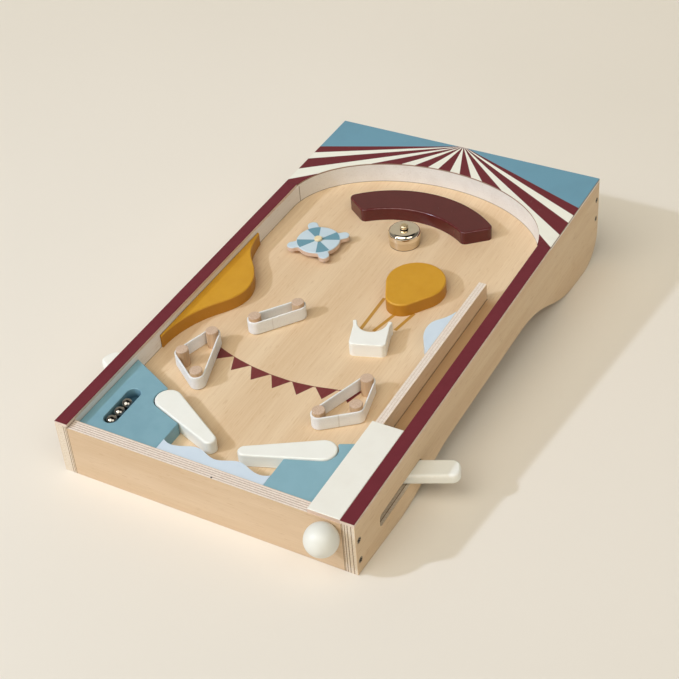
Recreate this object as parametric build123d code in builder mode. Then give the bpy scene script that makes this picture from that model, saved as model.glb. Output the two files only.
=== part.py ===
from build123d import *
import os
from math import asin, cos, pi, radians, sin, sqrt, tan

# A tabletop pinball game: a plywood case that slopes towards the player, with a sunken playfield, two
# flippers on side levers, a sprung plunger, a spinner, a bell, pegs with elastic bands and steel balls.
# Places on the playfield are given across the case from its centre line, along it from its front face, and in
# height above the top of its rails, and the whole case leans by its tilt.

# Case
case_width = 250.0
case_length = 450.0
front_height = 50.0
table_tilt = 4.2
panel_thickness = 10.0
top_thickness = 3.0
liner_thickness = 1.0
front_drop = 4.0
back_height = 47.0
top_board_length = 110.0
arch_inset = 119.0
arch_rise = 79.5
edge_round = 0.5

# Lower edge of the side panels
front_foot_length = 60.0
relief_start_y = 150.0
relief_back_inset = 170.0
relief_depth = 43.0
back_foot_inset = 52.0
back_corner_radius = 28.0

# Playfield board and its battens
playfield_depth = 19.0
playfield_thickness = 5.0
batten_width = 12.0
batten_height = 12.0
batten_gap = 19.0

# Screws through the side panels
screw_radius = 1.5
screw_head_radius = 2.6
screw_head_height = 1.5
screw_length = 26.0
screw_high_depth = 19.5
screw_low_depth = 39.0

# Fits
glue_gap = 0.04
running_gap = 0.06
open_gap = 0.3

# Shooter lane
lane_width = 18.5
divider_thickness = 7.0
divider_back_inset = 170.0
cover_setback = 0.4
cover_overlap = 12.4
bump_back_inset = 32.0
bump_length = 65.5
bump_width = 14.8
bump_shares = ((0.18, 0.44), (0.34, 0.85), (0.49, 1.0), (0.635, 0.88), (0.73, 0.54), (0.85, 0.23))

# Coloured blocks on the playfield
bumper_height = 12.0
bumper_round = 1.4
block_height = 11.0
block_round = 0.6
block_inset = 21.4
block_corner = 1.5
block_back_offset = 6.2
notch_gap = 0.8
wave_middle_y = 23.8
wave_swing = 2.6
wave_quarters = 10
ramp_start_y = 121.5
ramp_back_inset = 59.5
ramp_width = 32.0
ramp_tip = 1.6
ramp_shares = (
    (0.15, 0.14),
    (0.33, 0.52),
    (0.43, 0.85),
    (0.54, 1.0),
    (0.64, 0.9),
    (0.73, 0.64),
    (0.82, 0.3),
    (0.91, 0.13),
)
ramp_round = 0.8

# Ball tray
ball_radius = 5.0
ball_pitch = 10.1
ball_lift = 0.2
tray_slot_inset = 19.7
tray_slot_y = 41.4
tray_slot_length = 40.4
tray_slot_width = 11.5
tray_floor = 2.0

# Arch bumper
arch_bumper_turn = 2.0
arch_bumper_outer_rise = 51.6
arch_bumper_outer_end_rise = 23.0
arch_bumper_outer_half = 68.5
arch_bumper_inner_rise = 22.4
arch_bumper_inner_end_rise = 6.0
arch_bumper_inner_half = 46.5
arch_bumper_corner = 5.0

# Balloon and basket
balloon_share = (0.157, 0.758)
balloon_radius = 24.4
balloon_neck_shift = 1.9
balloon_neck_drop = 21.7
balloon_neck_radius = 13.2
basket_share = (0.163, 0.428)
basket_turn = 18.4
basket_length = 30.2
basket_width = 29.2
basket_horn_width = 33.4
basket_flare_length = 8.0
basket_flare_angle = 38.0
basket_cut_width = 24.6
basket_cut_depth = 13.8
basket_corner = 4.0
basket_horn_corner = 1.4
basket_round = 1.0

# Pegs and their elastic bands
peg_radius = 5.0
peg_top_depth = 3.6
peg_round = 0.6
band_gap = 0.1
band_thickness = 1.3
band_height = 11.5
band_lift = 0.6
left_peg_shares = ((-0.344, 0.184), (-0.308, 0.292), (-0.250, 0.122))
right_peg_shares = ((0.180, 0.119), (0.243, 0.290), (0.268, 0.183))
pair_peg_shares = ((-0.222, 0.402), (-0.131, 0.510))

# Flippers and their levers
pivot_inset = 22.1
pivot_y = 62.0
rest_angle = 25.2
swing_angle = 42.0
blade_tip_x = 15.0
blade_root_radius = 10.5
blade_tip_radius = 5.2
blade_thickness = 11.0
blade_lift = 0.6
blade_round = 1.6
shaft_radius = 4.0
shaft_seat = 7.0
lever_drop = 2.0
lever_width = 17.8
lever_thickness = 9.0
lever_overhang = 33.0
lever_corner = 7.0
lever_round = 2.4
lever_slot_headroom = 1.0
lever_slot_end_gap = 0.4
lever_slot_corner = 3.0
washer_radius = 8.0
washer_thickness = 1.6
lever_screw_head_radius = 3.6
lever_screw_head_height = 2.0
lever_screw_seat = 14.0

# Elastics that pull the flippers back
elastic_pin_radius = 1.5
elastic_pin_head_radius = 2.7
elastic_pin_head_height = 1.0
elastic_pin_seat = 3.5
elastic_pin_reach = 28.0
elastic_anchor_out = 30.0
elastic_anchor_back = 40.0
elastic_height = 4.0
elastic_thickness = 1.2
elastic_drop = 1.0

# Plunger and its spring
plunger_depth = 13.0
knob_radius = 12.5
knob_base_depth = 10.2
knob_gap = 0.5
knob_seat = 12.0
rod_radius = 3.5
plunger_head_radius = 5.4
plunger_head_length = 12.0
plunger_head_round = 1.0
plunger_spring_length = 62.0
coil_radius = 4.7
coil_wire_radius = 0.5
coil_turns = 14
quarters_per_turn = 4
coil_end_gap = 0.05

# Spinner
spinner_share = (-0.256, 0.840)
spinner_disc_radius = 18.7
spinner_reach = 27.0
spinner_arm_width = 9.0
spinner_arm_angle = 40.8
spinner_thickness = 4.2
spinner_web = 2.0
spinner_round = 0.8
spinner_arm_count = 4
spinner_pin_radius = 2.2
spinner_cap_radius = 3.4
spinner_cap_height = 2.0
spinner_cap_round = 1.0
spinner_washer_radius = 7.0
spinner_washer_thickness = 3.5

# Bell
bell_inset = 8.0
bell_cup_radius = 13.1
bell_cup_height = 9.2
bell_wall = 1.2
bell_boss_radius = 4.4
bell_boss_height = 13.8
gong_radius = 13.9
gong_wall = 0.6
gong_rim_height = 7.8
gong_shoulder_height = 9.9
gong_top_height = 14.4
gong_flat_radius = 4.6
bell_pin_radius = 2.0
bell_knob_radius = 3.5
bell_knob_height = 3.8
bell_knob_round = 1.5

# Places that follow from the sizes above
half_width = case_width / 2
inner_half = half_width - panel_thickness
inner_face = inner_half - liner_thickness
cap_width = panel_thickness + liner_thickness
back_face_y = case_length - panel_thickness
top_board_start_y = case_length - top_board_length
arch_start_y = case_length - arch_inset
relief_end_y = case_length - relief_back_inset
back_foot_y = case_length - back_foot_inset
divider_x = inner_face - lane_width - divider_thickness
divider_end_y = case_length - divider_back_inset
bump_end_y = divider_end_y - bump_back_inset
bump_start_y = bump_end_y - bump_length
pivot_x = divider_x - pivot_inset
block_inner_x = pivot_x - block_inset
ramp_end_y = arch_start_y - ramp_back_inset
tray_slot_x = inner_face - tray_slot_inset
field_z = -playfield_depth
under_field_z = field_z - playfield_thickness
lane_middle_x = (divider_x + divider_thickness + inner_face) / 2
plunger_z = -plunger_depth
knob_y = -knob_gap - knob_base_depth
plunger_head_y = panel_thickness + plunger_spring_length
cover_end_y = plunger_head_y + plunger_head_length + cover_overlap
lever_top_z = under_field_z - lever_drop
lever_under_z = lever_top_z - lever_thickness
blade_under_z = field_z + blade_lift
elastic_top_z = lever_under_z - elastic_drop
elastic_under_z = elastic_top_z - elastic_height
tilt = radians(table_tilt)
rest = radians(rest_angle)
swing = radians(swing_angle)
blade_length = (pivot_x - blade_tip_x) / cos(rest)
lever_reach = (half_width - pivot_x) / cos(rest) + lever_overhang
elastic_anchor_x = pivot_x + elastic_anchor_out
elastic_anchor_y = pivot_y + elastic_anchor_back
sides = (("left", -1), ("right", 1))

# The case's own directions and its place on the table: the origin lies on the table, under the middle of the
# outline seen from above, between the knob's front and the rounded back corner
across = Vector(1, 0, 0)
along = Vector(0, cos(tilt), sin(tilt))
upward = Vector(0, -sin(tilt), cos(tilt))
corner_y = case_length - back_corner_radius
corner_z = back_corner_radius / cos(tilt) - front_height - corner_y * tan(tilt)
front_reach = knob_y * cos(tilt) - plunger_z * sin(tilt) - knob_radius
back_reach = corner_y * cos(tilt) - corner_z * sin(tilt) + back_corner_radius
case_origin = Vector(0, -(front_reach + back_reach) / 2, front_height * cos(tilt))


def at(x, y, z):
    """Give the point at x across the case, y along it and z above its rails."""
    return case_origin + across * x + along * y + upward * z


def deck(z):
    """Give the plane that lies parallel to the playfield at height z."""
    return Plane(origin=at(0, 0, z), x_dir=across, z_dir=upward)


def turned_deck(x, y, z, angle):
    """Give the plane parallel to the playfield at a place, turned by an angle in radians."""
    return Plane(origin=at(x, y, z), x_dir=across * cos(angle) + along * sin(angle), z_dir=upward)


def flank(x):
    """Give the upright plane along the case at x, with y along the slope and z square to it."""
    return Plane(origin=at(x, 0, 0), x_dir=along, z_dir=across)


def turning_plane(x, y, z):
    """Give the upright plane across the case in which turned pieces are drawn."""
    return Plane(origin=at(x, y, z), x_dir=across, z_dir=-along)


def side_face(sign, x, y, depth):
    """Give the plane on a face towards one side, at y along the case and a depth below its rails."""
    return Plane(origin=at(sign * x, y, -depth), x_dir=along, z_dir=across * sign)


def field_spot(share):
    """Give the place at shares of the case's width and of the run from the flippers to the arch."""
    share_across, share_along = share
    return share_across * case_width, pivot_y + share_along * (arch_start_y - pivot_y)


def table_z(y):
    """Give the height of the table below the rails at y along the case."""
    return -front_height - y * tan(tilt)


def save(builder, label):
    """Label a finished piece and write it as its own file."""
    builder.part.label = label
    export_step(builder.part, f"parts/{label}.step")


os.makedirs("parts", exist_ok=True)
left_pegs = [field_spot(share) for share in left_peg_shares]
right_pegs = [field_spot(share) for share in right_peg_shares]
pair_pegs = [field_spot(share) for share in pair_peg_shares]
balloon_x, balloon_y = field_spot(balloon_share)
basket_x, basket_y = field_spot(basket_share)
spinner_x, spinner_y = field_spot(spinner_share)
bell_y = arch_start_y - bell_inset
pivots = [(sign * pivot_x, pivot_y) for _, sign in sides]
anchors = [(sign * elastic_anchor_x, elastic_anchor_y) for _, sign in sides]
screw_places = [
    (y, depth)
    for y in (panel_thickness / 2, case_length - panel_thickness / 2)
    for depth in (screw_high_depth, screw_low_depth)
]

# Slot in each side panel that the lever swings in, just wider than its swept ends
slot_reach = half_width - pivot_x
pulled = swing - rest
lever_half = lever_width / 2
slot_back_y = pivot_y + slot_reach * tan(rest) + lever_half / cos(rest) + lever_slot_end_gap
slot_front_y = pivot_y - slot_reach * tan(pulled) - lever_half / cos(pulled) - lever_slot_end_gap
slot_length = slot_back_y - slot_front_y
slot_middle_y = (slot_back_y + slot_front_y) / 2
slot_height = lever_thickness + 2 * lever_slot_headroom
slot_middle_z = (lever_top_z + lever_under_z) / 2
batten_start_y = slot_back_y + batten_gap

# Side panels, whose lower edge leaves the table smoothly between the feet
table_heading = (-cos(tilt), sin(tilt))
for name, sign in sides:
    panel_x = inner_half if sign > 0 else -half_width
    with BuildPart() as side_panel:
        with BuildSketch(flank(panel_x)) as panel_face:
            with BuildLine():
                Polyline(
                    (front_foot_length, table_z(front_foot_length)),
                    (0, table_z(0)),
                    (0, -top_thickness),
                    (case_length, -top_thickness),
                    (case_length, table_z(case_length)),
                    (back_foot_y, table_z(back_foot_y)),
                )
                Spline(
                    (back_foot_y, table_z(back_foot_y)),
                    (relief_end_y, -relief_depth),
                    tangents=(table_heading, (-1, 0)),
                )
                Line((relief_end_y, -relief_depth), (relief_start_y, -relief_depth))
                Spline(
                    (relief_start_y, -relief_depth),
                    (front_foot_length, table_z(front_foot_length)),
                    tangents=((-1, 0), table_heading),
                )
            make_face()
            fillet(panel_face.vertices().sort_by(Axis.Y)[0], radius=back_corner_radius)
        extrude(amount=panel_thickness)
        with BuildSketch(flank(panel_x)):
            with Locations((slot_middle_y, slot_middle_z)):
                RectangleRounded(slot_length, slot_height, lever_slot_corner)
        extrude(amount=panel_thickness, mode=Mode.SUBTRACT)
        with Locations(*[side_face(sign, half_width, y, depth) for y, depth in screw_places]):
            Hole(radius=screw_radius + glue_gap, depth=panel_thickness)
            Cone(
                bottom_radius=screw_radius + glue_gap,
                top_radius=screw_head_radius + glue_gap,
                height=screw_head_height,
                align=(Align.CENTER, Align.CENTER, Align.MAX),
                mode=Mode.SUBTRACT,
            )
    save(side_panel, f"{name}_side_panel")

# Screws that hold the front and back panels between the side panels
with BuildPart() as case_screws:
    for _, sign in sides:
        with Locations(*[side_face(sign, half_width, y, depth) for y, depth in screw_places]):
            Cylinder(screw_radius, screw_length, align=(Align.CENTER, Align.CENTER, Align.MAX))
            Cone(
                bottom_radius=screw_radius,
                top_radius=screw_head_radius,
                height=screw_head_height,
                align=(Align.CENTER, Align.CENTER, Align.MAX),
            )
save(case_screws, "case_screws")

# Front panel, with the plunger's hole
pilot_depth = screw_length - panel_thickness + glue_gap
with BuildPart() as front_panel:
    with BuildSketch(flank(-inner_half)):
        with BuildLine():
            Polyline(
                (0, table_z(0)),
                (0, -front_drop),
                (panel_thickness, -front_drop),
                (panel_thickness, table_z(panel_thickness)),
                close=True,
            )
        make_face()
    extrude(amount=2 * inner_half)
    with Locations(Plane(origin=at(lane_middle_x, 0, plunger_z), x_dir=across, z_dir=-along)):
        Hole(radius=rod_radius + running_gap, depth=panel_thickness)
    for _, sign in sides:
        for y, depth in screw_places[:2]:
            with Locations(side_face(sign, inner_half, y, depth)):
                Hole(radius=screw_radius + glue_gap, depth=pilot_depth)
save(front_panel, "front_panel")

# Back panel
with BuildPart() as back_panel:
    with BuildSketch(flank(-inner_half)):
        with BuildLine():
            Polyline(
                (back_face_y, -back_height),
                (back_face_y, -top_thickness),
                (case_length, -top_thickness),
                (case_length, -back_height),
                close=True,
            )
        make_face()
    extrude(amount=2 * inner_half)
    for _, sign in sides:
        for y, depth in screw_places[2:]:
            with Locations(side_face(sign, inner_half, y, depth)):
                Hole(radius=screw_radius + glue_gap, depth=pilot_depth)
save(back_panel, "back_panel")

# Playfield board, with a hole for every dowel and shaft
with BuildPart() as playfield_board:
    with BuildSketch(deck(under_field_z)):
        with Locations((0, case_length / 2)):
            Rectangle(2 * inner_half, case_length - 2 * panel_thickness)
        with Locations(*pivots):
            Circle(shaft_radius + running_gap, mode=Mode.SUBTRACT)
        with Locations(*left_pegs, *right_pegs, *pair_pegs):
            Circle(peg_radius + glue_gap, mode=Mode.SUBTRACT)
        with Locations((spinner_x, spinner_y)):
            Circle(spinner_pin_radius + glue_gap, mode=Mode.SUBTRACT)
        with Locations((0, bell_y)):
            Circle(bell_pin_radius + glue_gap, mode=Mode.SUBTRACT)
    extrude(amount=playfield_thickness)
    with BuildSketch(deck(under_field_z)):
        with Locations(*anchors):
            Circle(elastic_pin_radius + glue_gap)
    extrude(amount=elastic_pin_seat, mode=Mode.SUBTRACT)
save(playfield_board, "playfield_board")

# Battens under the playfield
for name, sign in sides:
    with BuildPart() as side_batten:
        with BuildSketch(deck(under_field_z)):
            with Locations((sign * (inner_half - batten_width / 2), (batten_start_y + back_face_y) / 2)):
                Rectangle(batten_width, back_face_y - batten_start_y)
        extrude(amount=-batten_height)
    save(side_batten, f"{name}_batten")
with BuildPart() as front_batten:
    with BuildSketch(deck(under_field_z)):
        with Locations((0, panel_thickness + batten_width / 2)):
            Rectangle(2 * inner_half, batten_width)
    extrude(amount=-batten_height)
save(front_batten, "front_batten")

# Top board with its arched opening, and the rail caps in front of it
with BuildPart() as top_board:
    with BuildSketch(deck(-top_thickness)):
        with Locations((0, (top_board_start_y + case_length) / 2)):
            Rectangle(case_width, case_length - top_board_start_y)
        with Locations((0, arch_start_y)):
            Ellipse(inner_face, arch_rise, mode=Mode.SUBTRACT)
    extrude(amount=top_thickness)
    top_lines = top_board.faces().sort_by(Axis(at(0, 0, 0), upward))[-1].edges().filter_by(GeomType.LINE)
    fillet(top_lines.sort_by(Axis(at(0, 0, 0), along))[2:], radius=edge_round)
save(top_board, "top_board")
for name, sign in sides:
    with BuildPart() as rail_cap:
        with BuildSketch(deck(-top_thickness)):
            with Locations((sign * (half_width - cap_width / 2), top_board_start_y / 2)):
                Rectangle(cap_width, top_board_start_y)
        extrude(amount=top_thickness)
        cap_edges = rail_cap.faces().sort_by(Axis(at(0, 0, 0), upward))[-1].edges()
        fillet(cap_edges.sort_by(SortBy.LENGTH)[2:], radius=edge_round)
    save(rail_cap, f"{name}_rail_cap")

# Bent strip round the arch and the straight strips that lead into it
wall_height = playfield_depth - top_thickness
with BuildPart() as arch_wall:
    with BuildSketch(deck(field_z)):
        with Locations((0, arch_start_y)):
            Ellipse(inner_half, arch_rise + liner_thickness)
            Ellipse(inner_face, arch_rise, mode=Mode.SUBTRACT)
        with Locations((0, arch_start_y)):
            Rectangle(
                case_width,
                case_length,
                align=(Align.CENTER, Align.MIN),
                mode=Mode.INTERSECT,
            )
    extrude(amount=wall_height)
save(arch_wall, "arch_wall")
for name, sign in sides:
    with BuildPart() as wall_liner:
        with BuildSketch(deck(field_z)):
            with Locations((sign * (inner_face + liner_thickness / 2), (panel_thickness + arch_start_y) / 2)):
                Rectangle(liner_thickness, arch_start_y - panel_thickness)
        extrude(amount=wall_height)
    save(wall_liner, f"{name}_wall_liner")

# Divider of the shooter lane, the bump on its side and the cover over the plunger
with BuildPart() as lane_divider:
    with BuildSketch(deck(field_z)):
        with Locations((divider_x + divider_thickness / 2, (panel_thickness + divider_end_y) / 2)):
            Rectangle(divider_thickness, divider_end_y - panel_thickness)
    extrude(amount=playfield_depth - front_drop)
    far_face = lane_divider.faces().sort_by(Axis(at(0, 0, 0), along))[-1]
    fillet(far_face.edges().filter_by(Axis(at(0, 0, 0), upward)), radius=edge_round)
save(lane_divider, "lane_divider")
with BuildPart() as lane_bump:
    with BuildSketch(deck(field_z)):
        with BuildLine():
            Spline(
                (divider_x, bump_start_y),
                *[
                    (divider_x - out_share * bump_width, bump_start_y + along_share * bump_length)
                    for along_share, out_share in bump_shares
                ],
                (divider_x, bump_end_y),
            )
            Line((divider_x, bump_end_y), (divider_x, bump_start_y))
        make_face()
    extrude(amount=bumper_height)
save(lane_bump, "lane_bump")
with BuildPart() as plunger_cover:
    with BuildSketch(deck(-front_drop)):
        with Locations(((divider_x + inner_face) / 2, (cover_setback + cover_end_y) / 2)):
            Rectangle(inner_face - divider_x, cover_end_y - cover_setback)
    extrude(amount=front_drop)
    fillet(plunger_cover.faces().sort_by(Axis(at(0, 0, 0), upward))[-1].edges(), radius=edge_round)
save(plunger_cover, "plunger_cover")

# Edge of the corner blocks beside a flipper: parallel to its tapered lower edge, then round its root
taper = asin((blade_root_radius - blade_tip_radius) / blade_length)
notch_radius = blade_root_radius + notch_gap
edge_turn = rest - taper - pi / 2
arc_start = (pivot_x + notch_radius * cos(edge_turn), pivot_y + notch_radius * sin(edge_turn))
inner_corner_y = arc_start[1] + (block_inner_x - arc_start[0]) * tan(rest - taper)
arc_end_turn = rest + asin(block_back_offset / notch_radius)
arc_middle_turn = (edge_turn + arc_end_turn) / 2
arc_middle = (pivot_x + notch_radius * cos(arc_middle_turn), pivot_y + notch_radius * sin(arc_middle_turn))
arc_end = (pivot_x + notch_radius * cos(arc_end_turn), pivot_y + notch_radius * sin(arc_end_turn))


def block_corners(sign, outer_x):
    """Give the corners of a corner block on one side, out to outer_x from the centre line."""
    outer_y = arc_end[1] + (outer_x - arc_end[0]) * tan(rest)
    corners = [
        arc_end,
        (outer_x, outer_y),
        (outer_x, panel_thickness),
        (block_inner_x, panel_thickness),
        (block_inner_x, inner_corner_y),
        arc_start,
    ]
    return [(sign * x, y) for x, y in corners]


def notch_arc(sign):
    """Give the three points of the arc round a flipper's root on one side."""
    return [(sign * x, y) for x, y in (arc_start, arc_middle, arc_end)]


# Corner blocks: the left one holds the balls in a slot
with BuildPart() as ball_tray_block:
    with BuildSketch(deck(field_z)) as block_face:
        with BuildLine():
            Polyline(*block_corners(-1, inner_face))
            ThreePointArc(*notch_arc(-1))
        make_face()
        fillet(block_face.vertices().sort_by_distance(notch_arc(-1)[-1])[0], radius=block_corner)
    extrude(amount=block_height)
    with BuildSketch(deck(field_z + tray_floor)):
        with Locations((-tray_slot_x, tray_slot_y)):
            SlotOverall(tray_slot_length, tray_slot_width, rotation=90)
    extrude(amount=block_height, mode=Mode.SUBTRACT)
    top_face = ball_tray_block.faces().sort_by(Axis(at(0, 0, 0), upward))[-1]
    fillet(top_face.edges(), radius=block_round)
save(ball_tray_block, "ball_tray_block")
with BuildPart() as right_corner_block:
    with BuildSketch(deck(field_z)) as block_face:
        with BuildLine():
            Polyline(*block_corners(1, divider_x))
            ThreePointArc(*notch_arc(1))
        make_face()
        fillet(block_face.vertices().sort_by_distance(notch_arc(1)[-1])[0], radius=block_corner)
    extrude(amount=block_height)
    top_face = right_corner_block.faces().sort_by(Axis(at(0, 0, 0), upward))[-1]
    fillet(top_face.edges(), radius=block_round)
save(right_corner_block, "right_corner_block")

# Wavy apron between the corner blocks
wave_step = 2 * block_inner_x / wave_quarters
wave_middle = wave_quarters / 2
with BuildPart() as drain_wave:
    with BuildSketch(deck(field_z)):
        with BuildLine():
            crest_line = Spline(
                *[
                    (
                        (step - wave_middle) * wave_step,
                        wave_middle_y - wave_swing * cos((step - wave_middle) * pi / 2),
                    )
                    for step in range(wave_quarters + 1)
                ]
            )
            Polyline(
                crest_line @ 1,
                (block_inner_x, panel_thickness),
                (-block_inner_x, panel_thickness),
                crest_line @ 0,
            )
        make_face()
    extrude(amount=block_height)
save(drain_wave, "drain_wave")

# Ramp on the left wall
ramp_length = ramp_end_y - ramp_start_y
ramp_tip_x = ramp_tip - inner_face
with BuildPart() as ramp_block:
    with BuildSketch(deck(field_z)):
        with BuildLine():
            ramp_edge = Spline(
                (ramp_tip_x, ramp_start_y),
                *[
                    (-inner_face + out_share * ramp_width, ramp_start_y + along_share * ramp_length)
                    for along_share, out_share in ramp_shares
                ],
                (ramp_tip_x, ramp_end_y),
            )
            Polyline(
                ramp_edge @ 1,
                (-inner_face, ramp_end_y),
                (-inner_face, ramp_start_y),
                ramp_edge @ 0,
            )
        make_face()
    extrude(amount=bumper_height)
    curved_top = (
        ramp_block.faces()
        .sort_by(Axis(at(0, 0, 0), upward))[-1]
        .edges()
        .filter_by(GeomType.BSPLINE)
    )
    fillet(curved_top, radius=ramp_round)
save(ramp_block, "ramp_block")

# Arched bumper behind the bell
with BuildPart() as arch_bumper:
    arch_bumper_plane = turned_deck(0, arch_start_y, field_z, radians(arch_bumper_turn))
    with BuildSketch(arch_bumper_plane) as arch_bumper_face:
        with BuildLine():
            outer_arc = ThreePointArc(
                (-arch_bumper_outer_half, arch_bumper_outer_end_rise),
                (0, arch_bumper_outer_rise),
                (arch_bumper_outer_half, arch_bumper_outer_end_rise),
            )
            inner_arc = ThreePointArc(
                (-arch_bumper_inner_half, arch_bumper_inner_end_rise),
                (0, arch_bumper_inner_rise),
                (arch_bumper_inner_half, arch_bumper_inner_end_rise),
            )
            Line(outer_arc @ 0, inner_arc @ 0)
            Line(outer_arc @ 1, inner_arc @ 1)
        make_face()
        fillet(arch_bumper_face.vertices(), radius=arch_bumper_corner)
    extrude(amount=bumper_height)
    fillet(arch_bumper.faces().sort_by(Axis(at(0, 0, 0), upward))[-1].edges(), radius=bumper_round)
save(arch_bumper, "arch_bumper")

# Balloon and its basket
with BuildPart() as balloon_block:
    with BuildSketch(deck(field_z)):
        with Locations((balloon_x, balloon_y)):
            Circle(balloon_radius)
        with Locations((balloon_x - balloon_neck_shift, balloon_y - balloon_neck_drop)):
            Circle(balloon_neck_radius)
        make_hull()
    extrude(amount=bumper_height)
    fillet(balloon_block.faces().sort_by(Axis(at(0, 0, 0), upward))[-1].edges(), radius=bumper_round)
save(balloon_block, "balloon_block")
flare_start = basket_length - basket_flare_length
flare_turn = radians(basket_flare_angle)
with BuildPart() as basket_block:
    with BuildSketch(turned_deck(basket_x, basket_y, field_z, radians(basket_turn))) as basket_face:
        with BuildLine():
            for _, sign in sides:
                Spline(
                    (sign * basket_width / 2, flare_start),
                    (sign * basket_horn_width / 2, basket_length),
                    tangents=((0, 1), (sign * sin(flare_turn), cos(flare_turn))),
                )
            Polyline(
                (-basket_width / 2, flare_start),
                (-basket_width / 2, 0),
                (basket_width / 2, 0),
                (basket_width / 2, flare_start),
            )
            Line((-basket_horn_width / 2, basket_length), (basket_horn_width / 2, basket_length))
        make_face()
        fillet(basket_face.vertices().group_by(Axis.Y)[0], radius=basket_corner)
        with Locations((0, basket_length)):
            Ellipse(basket_cut_width / 2, basket_cut_depth, mode=Mode.SUBTRACT)
        fillet(basket_face.vertices().group_by(Axis.Y)[-1], radius=basket_horn_corner)
    extrude(amount=bumper_height)
    fillet(basket_block.faces().sort_by(Axis(at(0, 0, 0), upward))[-1].edges(), radius=basket_round)
save(basket_block, "basket_block")

# Groups of dowel pegs, each with an elastic band round it
peg_length = -peg_top_depth - under_field_z
for group, spots in (("left_triangle", left_pegs), ("right_triangle", right_pegs), ("pair", pair_pegs)):
    with BuildPart() as pegs:
        with BuildSketch(deck(under_field_z)):
            with Locations(*spots):
                Circle(peg_radius)
        extrude(amount=peg_length)
        peg_tops = pegs.faces().group_by(Axis(at(0, 0, 0), upward))[-1]
        fillet(peg_tops.edges(), radius=peg_round)
    save(pegs, f"{group}_pegs")
    with BuildPart() as band:
        with BuildSketch(deck(field_z + band_lift)):
            with Locations(*spots):
                Circle(peg_radius + band_gap + band_thickness)
            make_hull()
        extrude(amount=band_height)
        with BuildSketch(deck(field_z + band_lift)):
            with Locations(*spots):
                Circle(peg_radius + band_gap)
            make_hull()
        extrude(amount=band_height, mode=Mode.SUBTRACT)
    save(band, f"{group}_band")

# Spinner: a disc with four arms that turns on a headed wooden pin over a washer
spinner_under_z = field_z + spinner_washer_thickness + open_gap
spinner_top_z = spinner_under_z + spinner_thickness
with BuildPart() as spinner_rotor:
    rotor_plane = turned_deck(spinner_x, spinner_y, spinner_under_z, radians(spinner_arm_angle))
    with BuildSketch(rotor_plane) as rotor_face:
        Circle(spinner_disc_radius)
        with PolarLocations(0, spinner_arm_count // 2, angular_range=180):
            SlotOverall(2 * spinner_reach, spinner_arm_width)
        fillet(rotor_face.vertices().sort_by_distance((0, 0))[: 2 * spinner_arm_count], radius=spinner_web)
        Circle(spinner_pin_radius + running_gap, mode=Mode.SUBTRACT)
    extrude(amount=spinner_thickness)
    rotor_top = spinner_rotor.faces().sort_by(Axis(at(0, 0, 0), upward))[-1]
    fillet(rotor_top.outer_wire().edges(), radius=spinner_round)
save(spinner_rotor, "spinner_rotor")
with BuildPart() as spinner_washer:
    with BuildSketch(turned_deck(spinner_x, spinner_y, field_z, 0)):
        Circle(spinner_washer_radius)
        Circle(spinner_pin_radius + glue_gap, mode=Mode.SUBTRACT)
    extrude(amount=spinner_washer_thickness)
save(spinner_washer, "spinner_washer")
with BuildPart() as spinner_pin:
    with BuildSketch(turned_deck(spinner_x, spinner_y, under_field_z, 0)):
        Circle(spinner_pin_radius)
    extrude(amount=spinner_top_z + open_gap - under_field_z)
    with BuildSketch(turned_deck(spinner_x, spinner_y, spinner_top_z + open_gap, 0)):
        Circle(spinner_cap_radius)
    extrude(amount=spinner_cap_height)
    fillet(spinner_pin.faces().sort_by(Axis(at(0, 0, 0), upward))[-1].edges(), radius=spinner_cap_round)
save(spinner_pin, "spinner_pin")

# Bell: a metal cup with a boss, a domed gong on the boss and a headed wooden pin through both
bell_axis = Axis(at(0, bell_y, field_z), upward)
bell_bore = bell_pin_radius + glue_gap
with BuildPart() as bell_cup:
    with BuildSketch(turning_plane(0, bell_y, field_z)):
        with BuildLine():
            Polyline(
                (bell_bore, bell_boss_height),
                (bell_boss_radius, bell_boss_height),
                (bell_boss_radius, bell_cup_height),
                (bell_cup_radius, bell_cup_height),
                (bell_cup_radius, 0),
                (bell_cup_radius - bell_wall, 0),
                (bell_cup_radius - bell_wall, bell_cup_height - bell_wall),
                (bell_bore, bell_cup_height - bell_wall),
                close=True,
            )
        make_face()
    revolve(axis=bell_axis)
save(bell_cup, "bell_cup")
with BuildPart() as bell_gong:
    with BuildSketch(turning_plane(0, bell_y, field_z)):
        with BuildLine():
            outer_dome = Spline(
                (gong_flat_radius, gong_top_height),
                (gong_radius, gong_shoulder_height),
                tangents=((1, 0), (0, -1)),
            )
            inner_dome = Spline(
                (gong_flat_radius, gong_top_height - gong_wall),
                (gong_radius - gong_wall, gong_shoulder_height),
                tangents=((1, 0), (0, -1)),
            )
            Polyline(
                outer_dome @ 1,
                (gong_radius, gong_rim_height),
                (gong_radius - gong_wall, gong_rim_height),
                inner_dome @ 1,
            )
            Polyline(
                outer_dome @ 0,
                (bell_bore, gong_top_height),
                (bell_bore, gong_top_height - gong_wall),
                inner_dome @ 0,
            )
        make_face()
    revolve(axis=bell_axis)
save(bell_gong, "bell_gong")
with BuildPart() as bell_pin:
    with BuildSketch(turned_deck(0, bell_y, under_field_z, 0)):
        Circle(bell_pin_radius)
    extrude(amount=playfield_thickness + gong_top_height)
    with BuildSketch(turned_deck(0, bell_y, field_z + gong_top_height, 0)):
        Circle(bell_knob_radius)
    extrude(amount=bell_knob_height)
    fillet(bell_pin.faces().sort_by(Axis(at(0, 0, 0), upward))[-1].edges(), radius=bell_knob_round)
save(bell_pin, "bell_pin")

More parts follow.
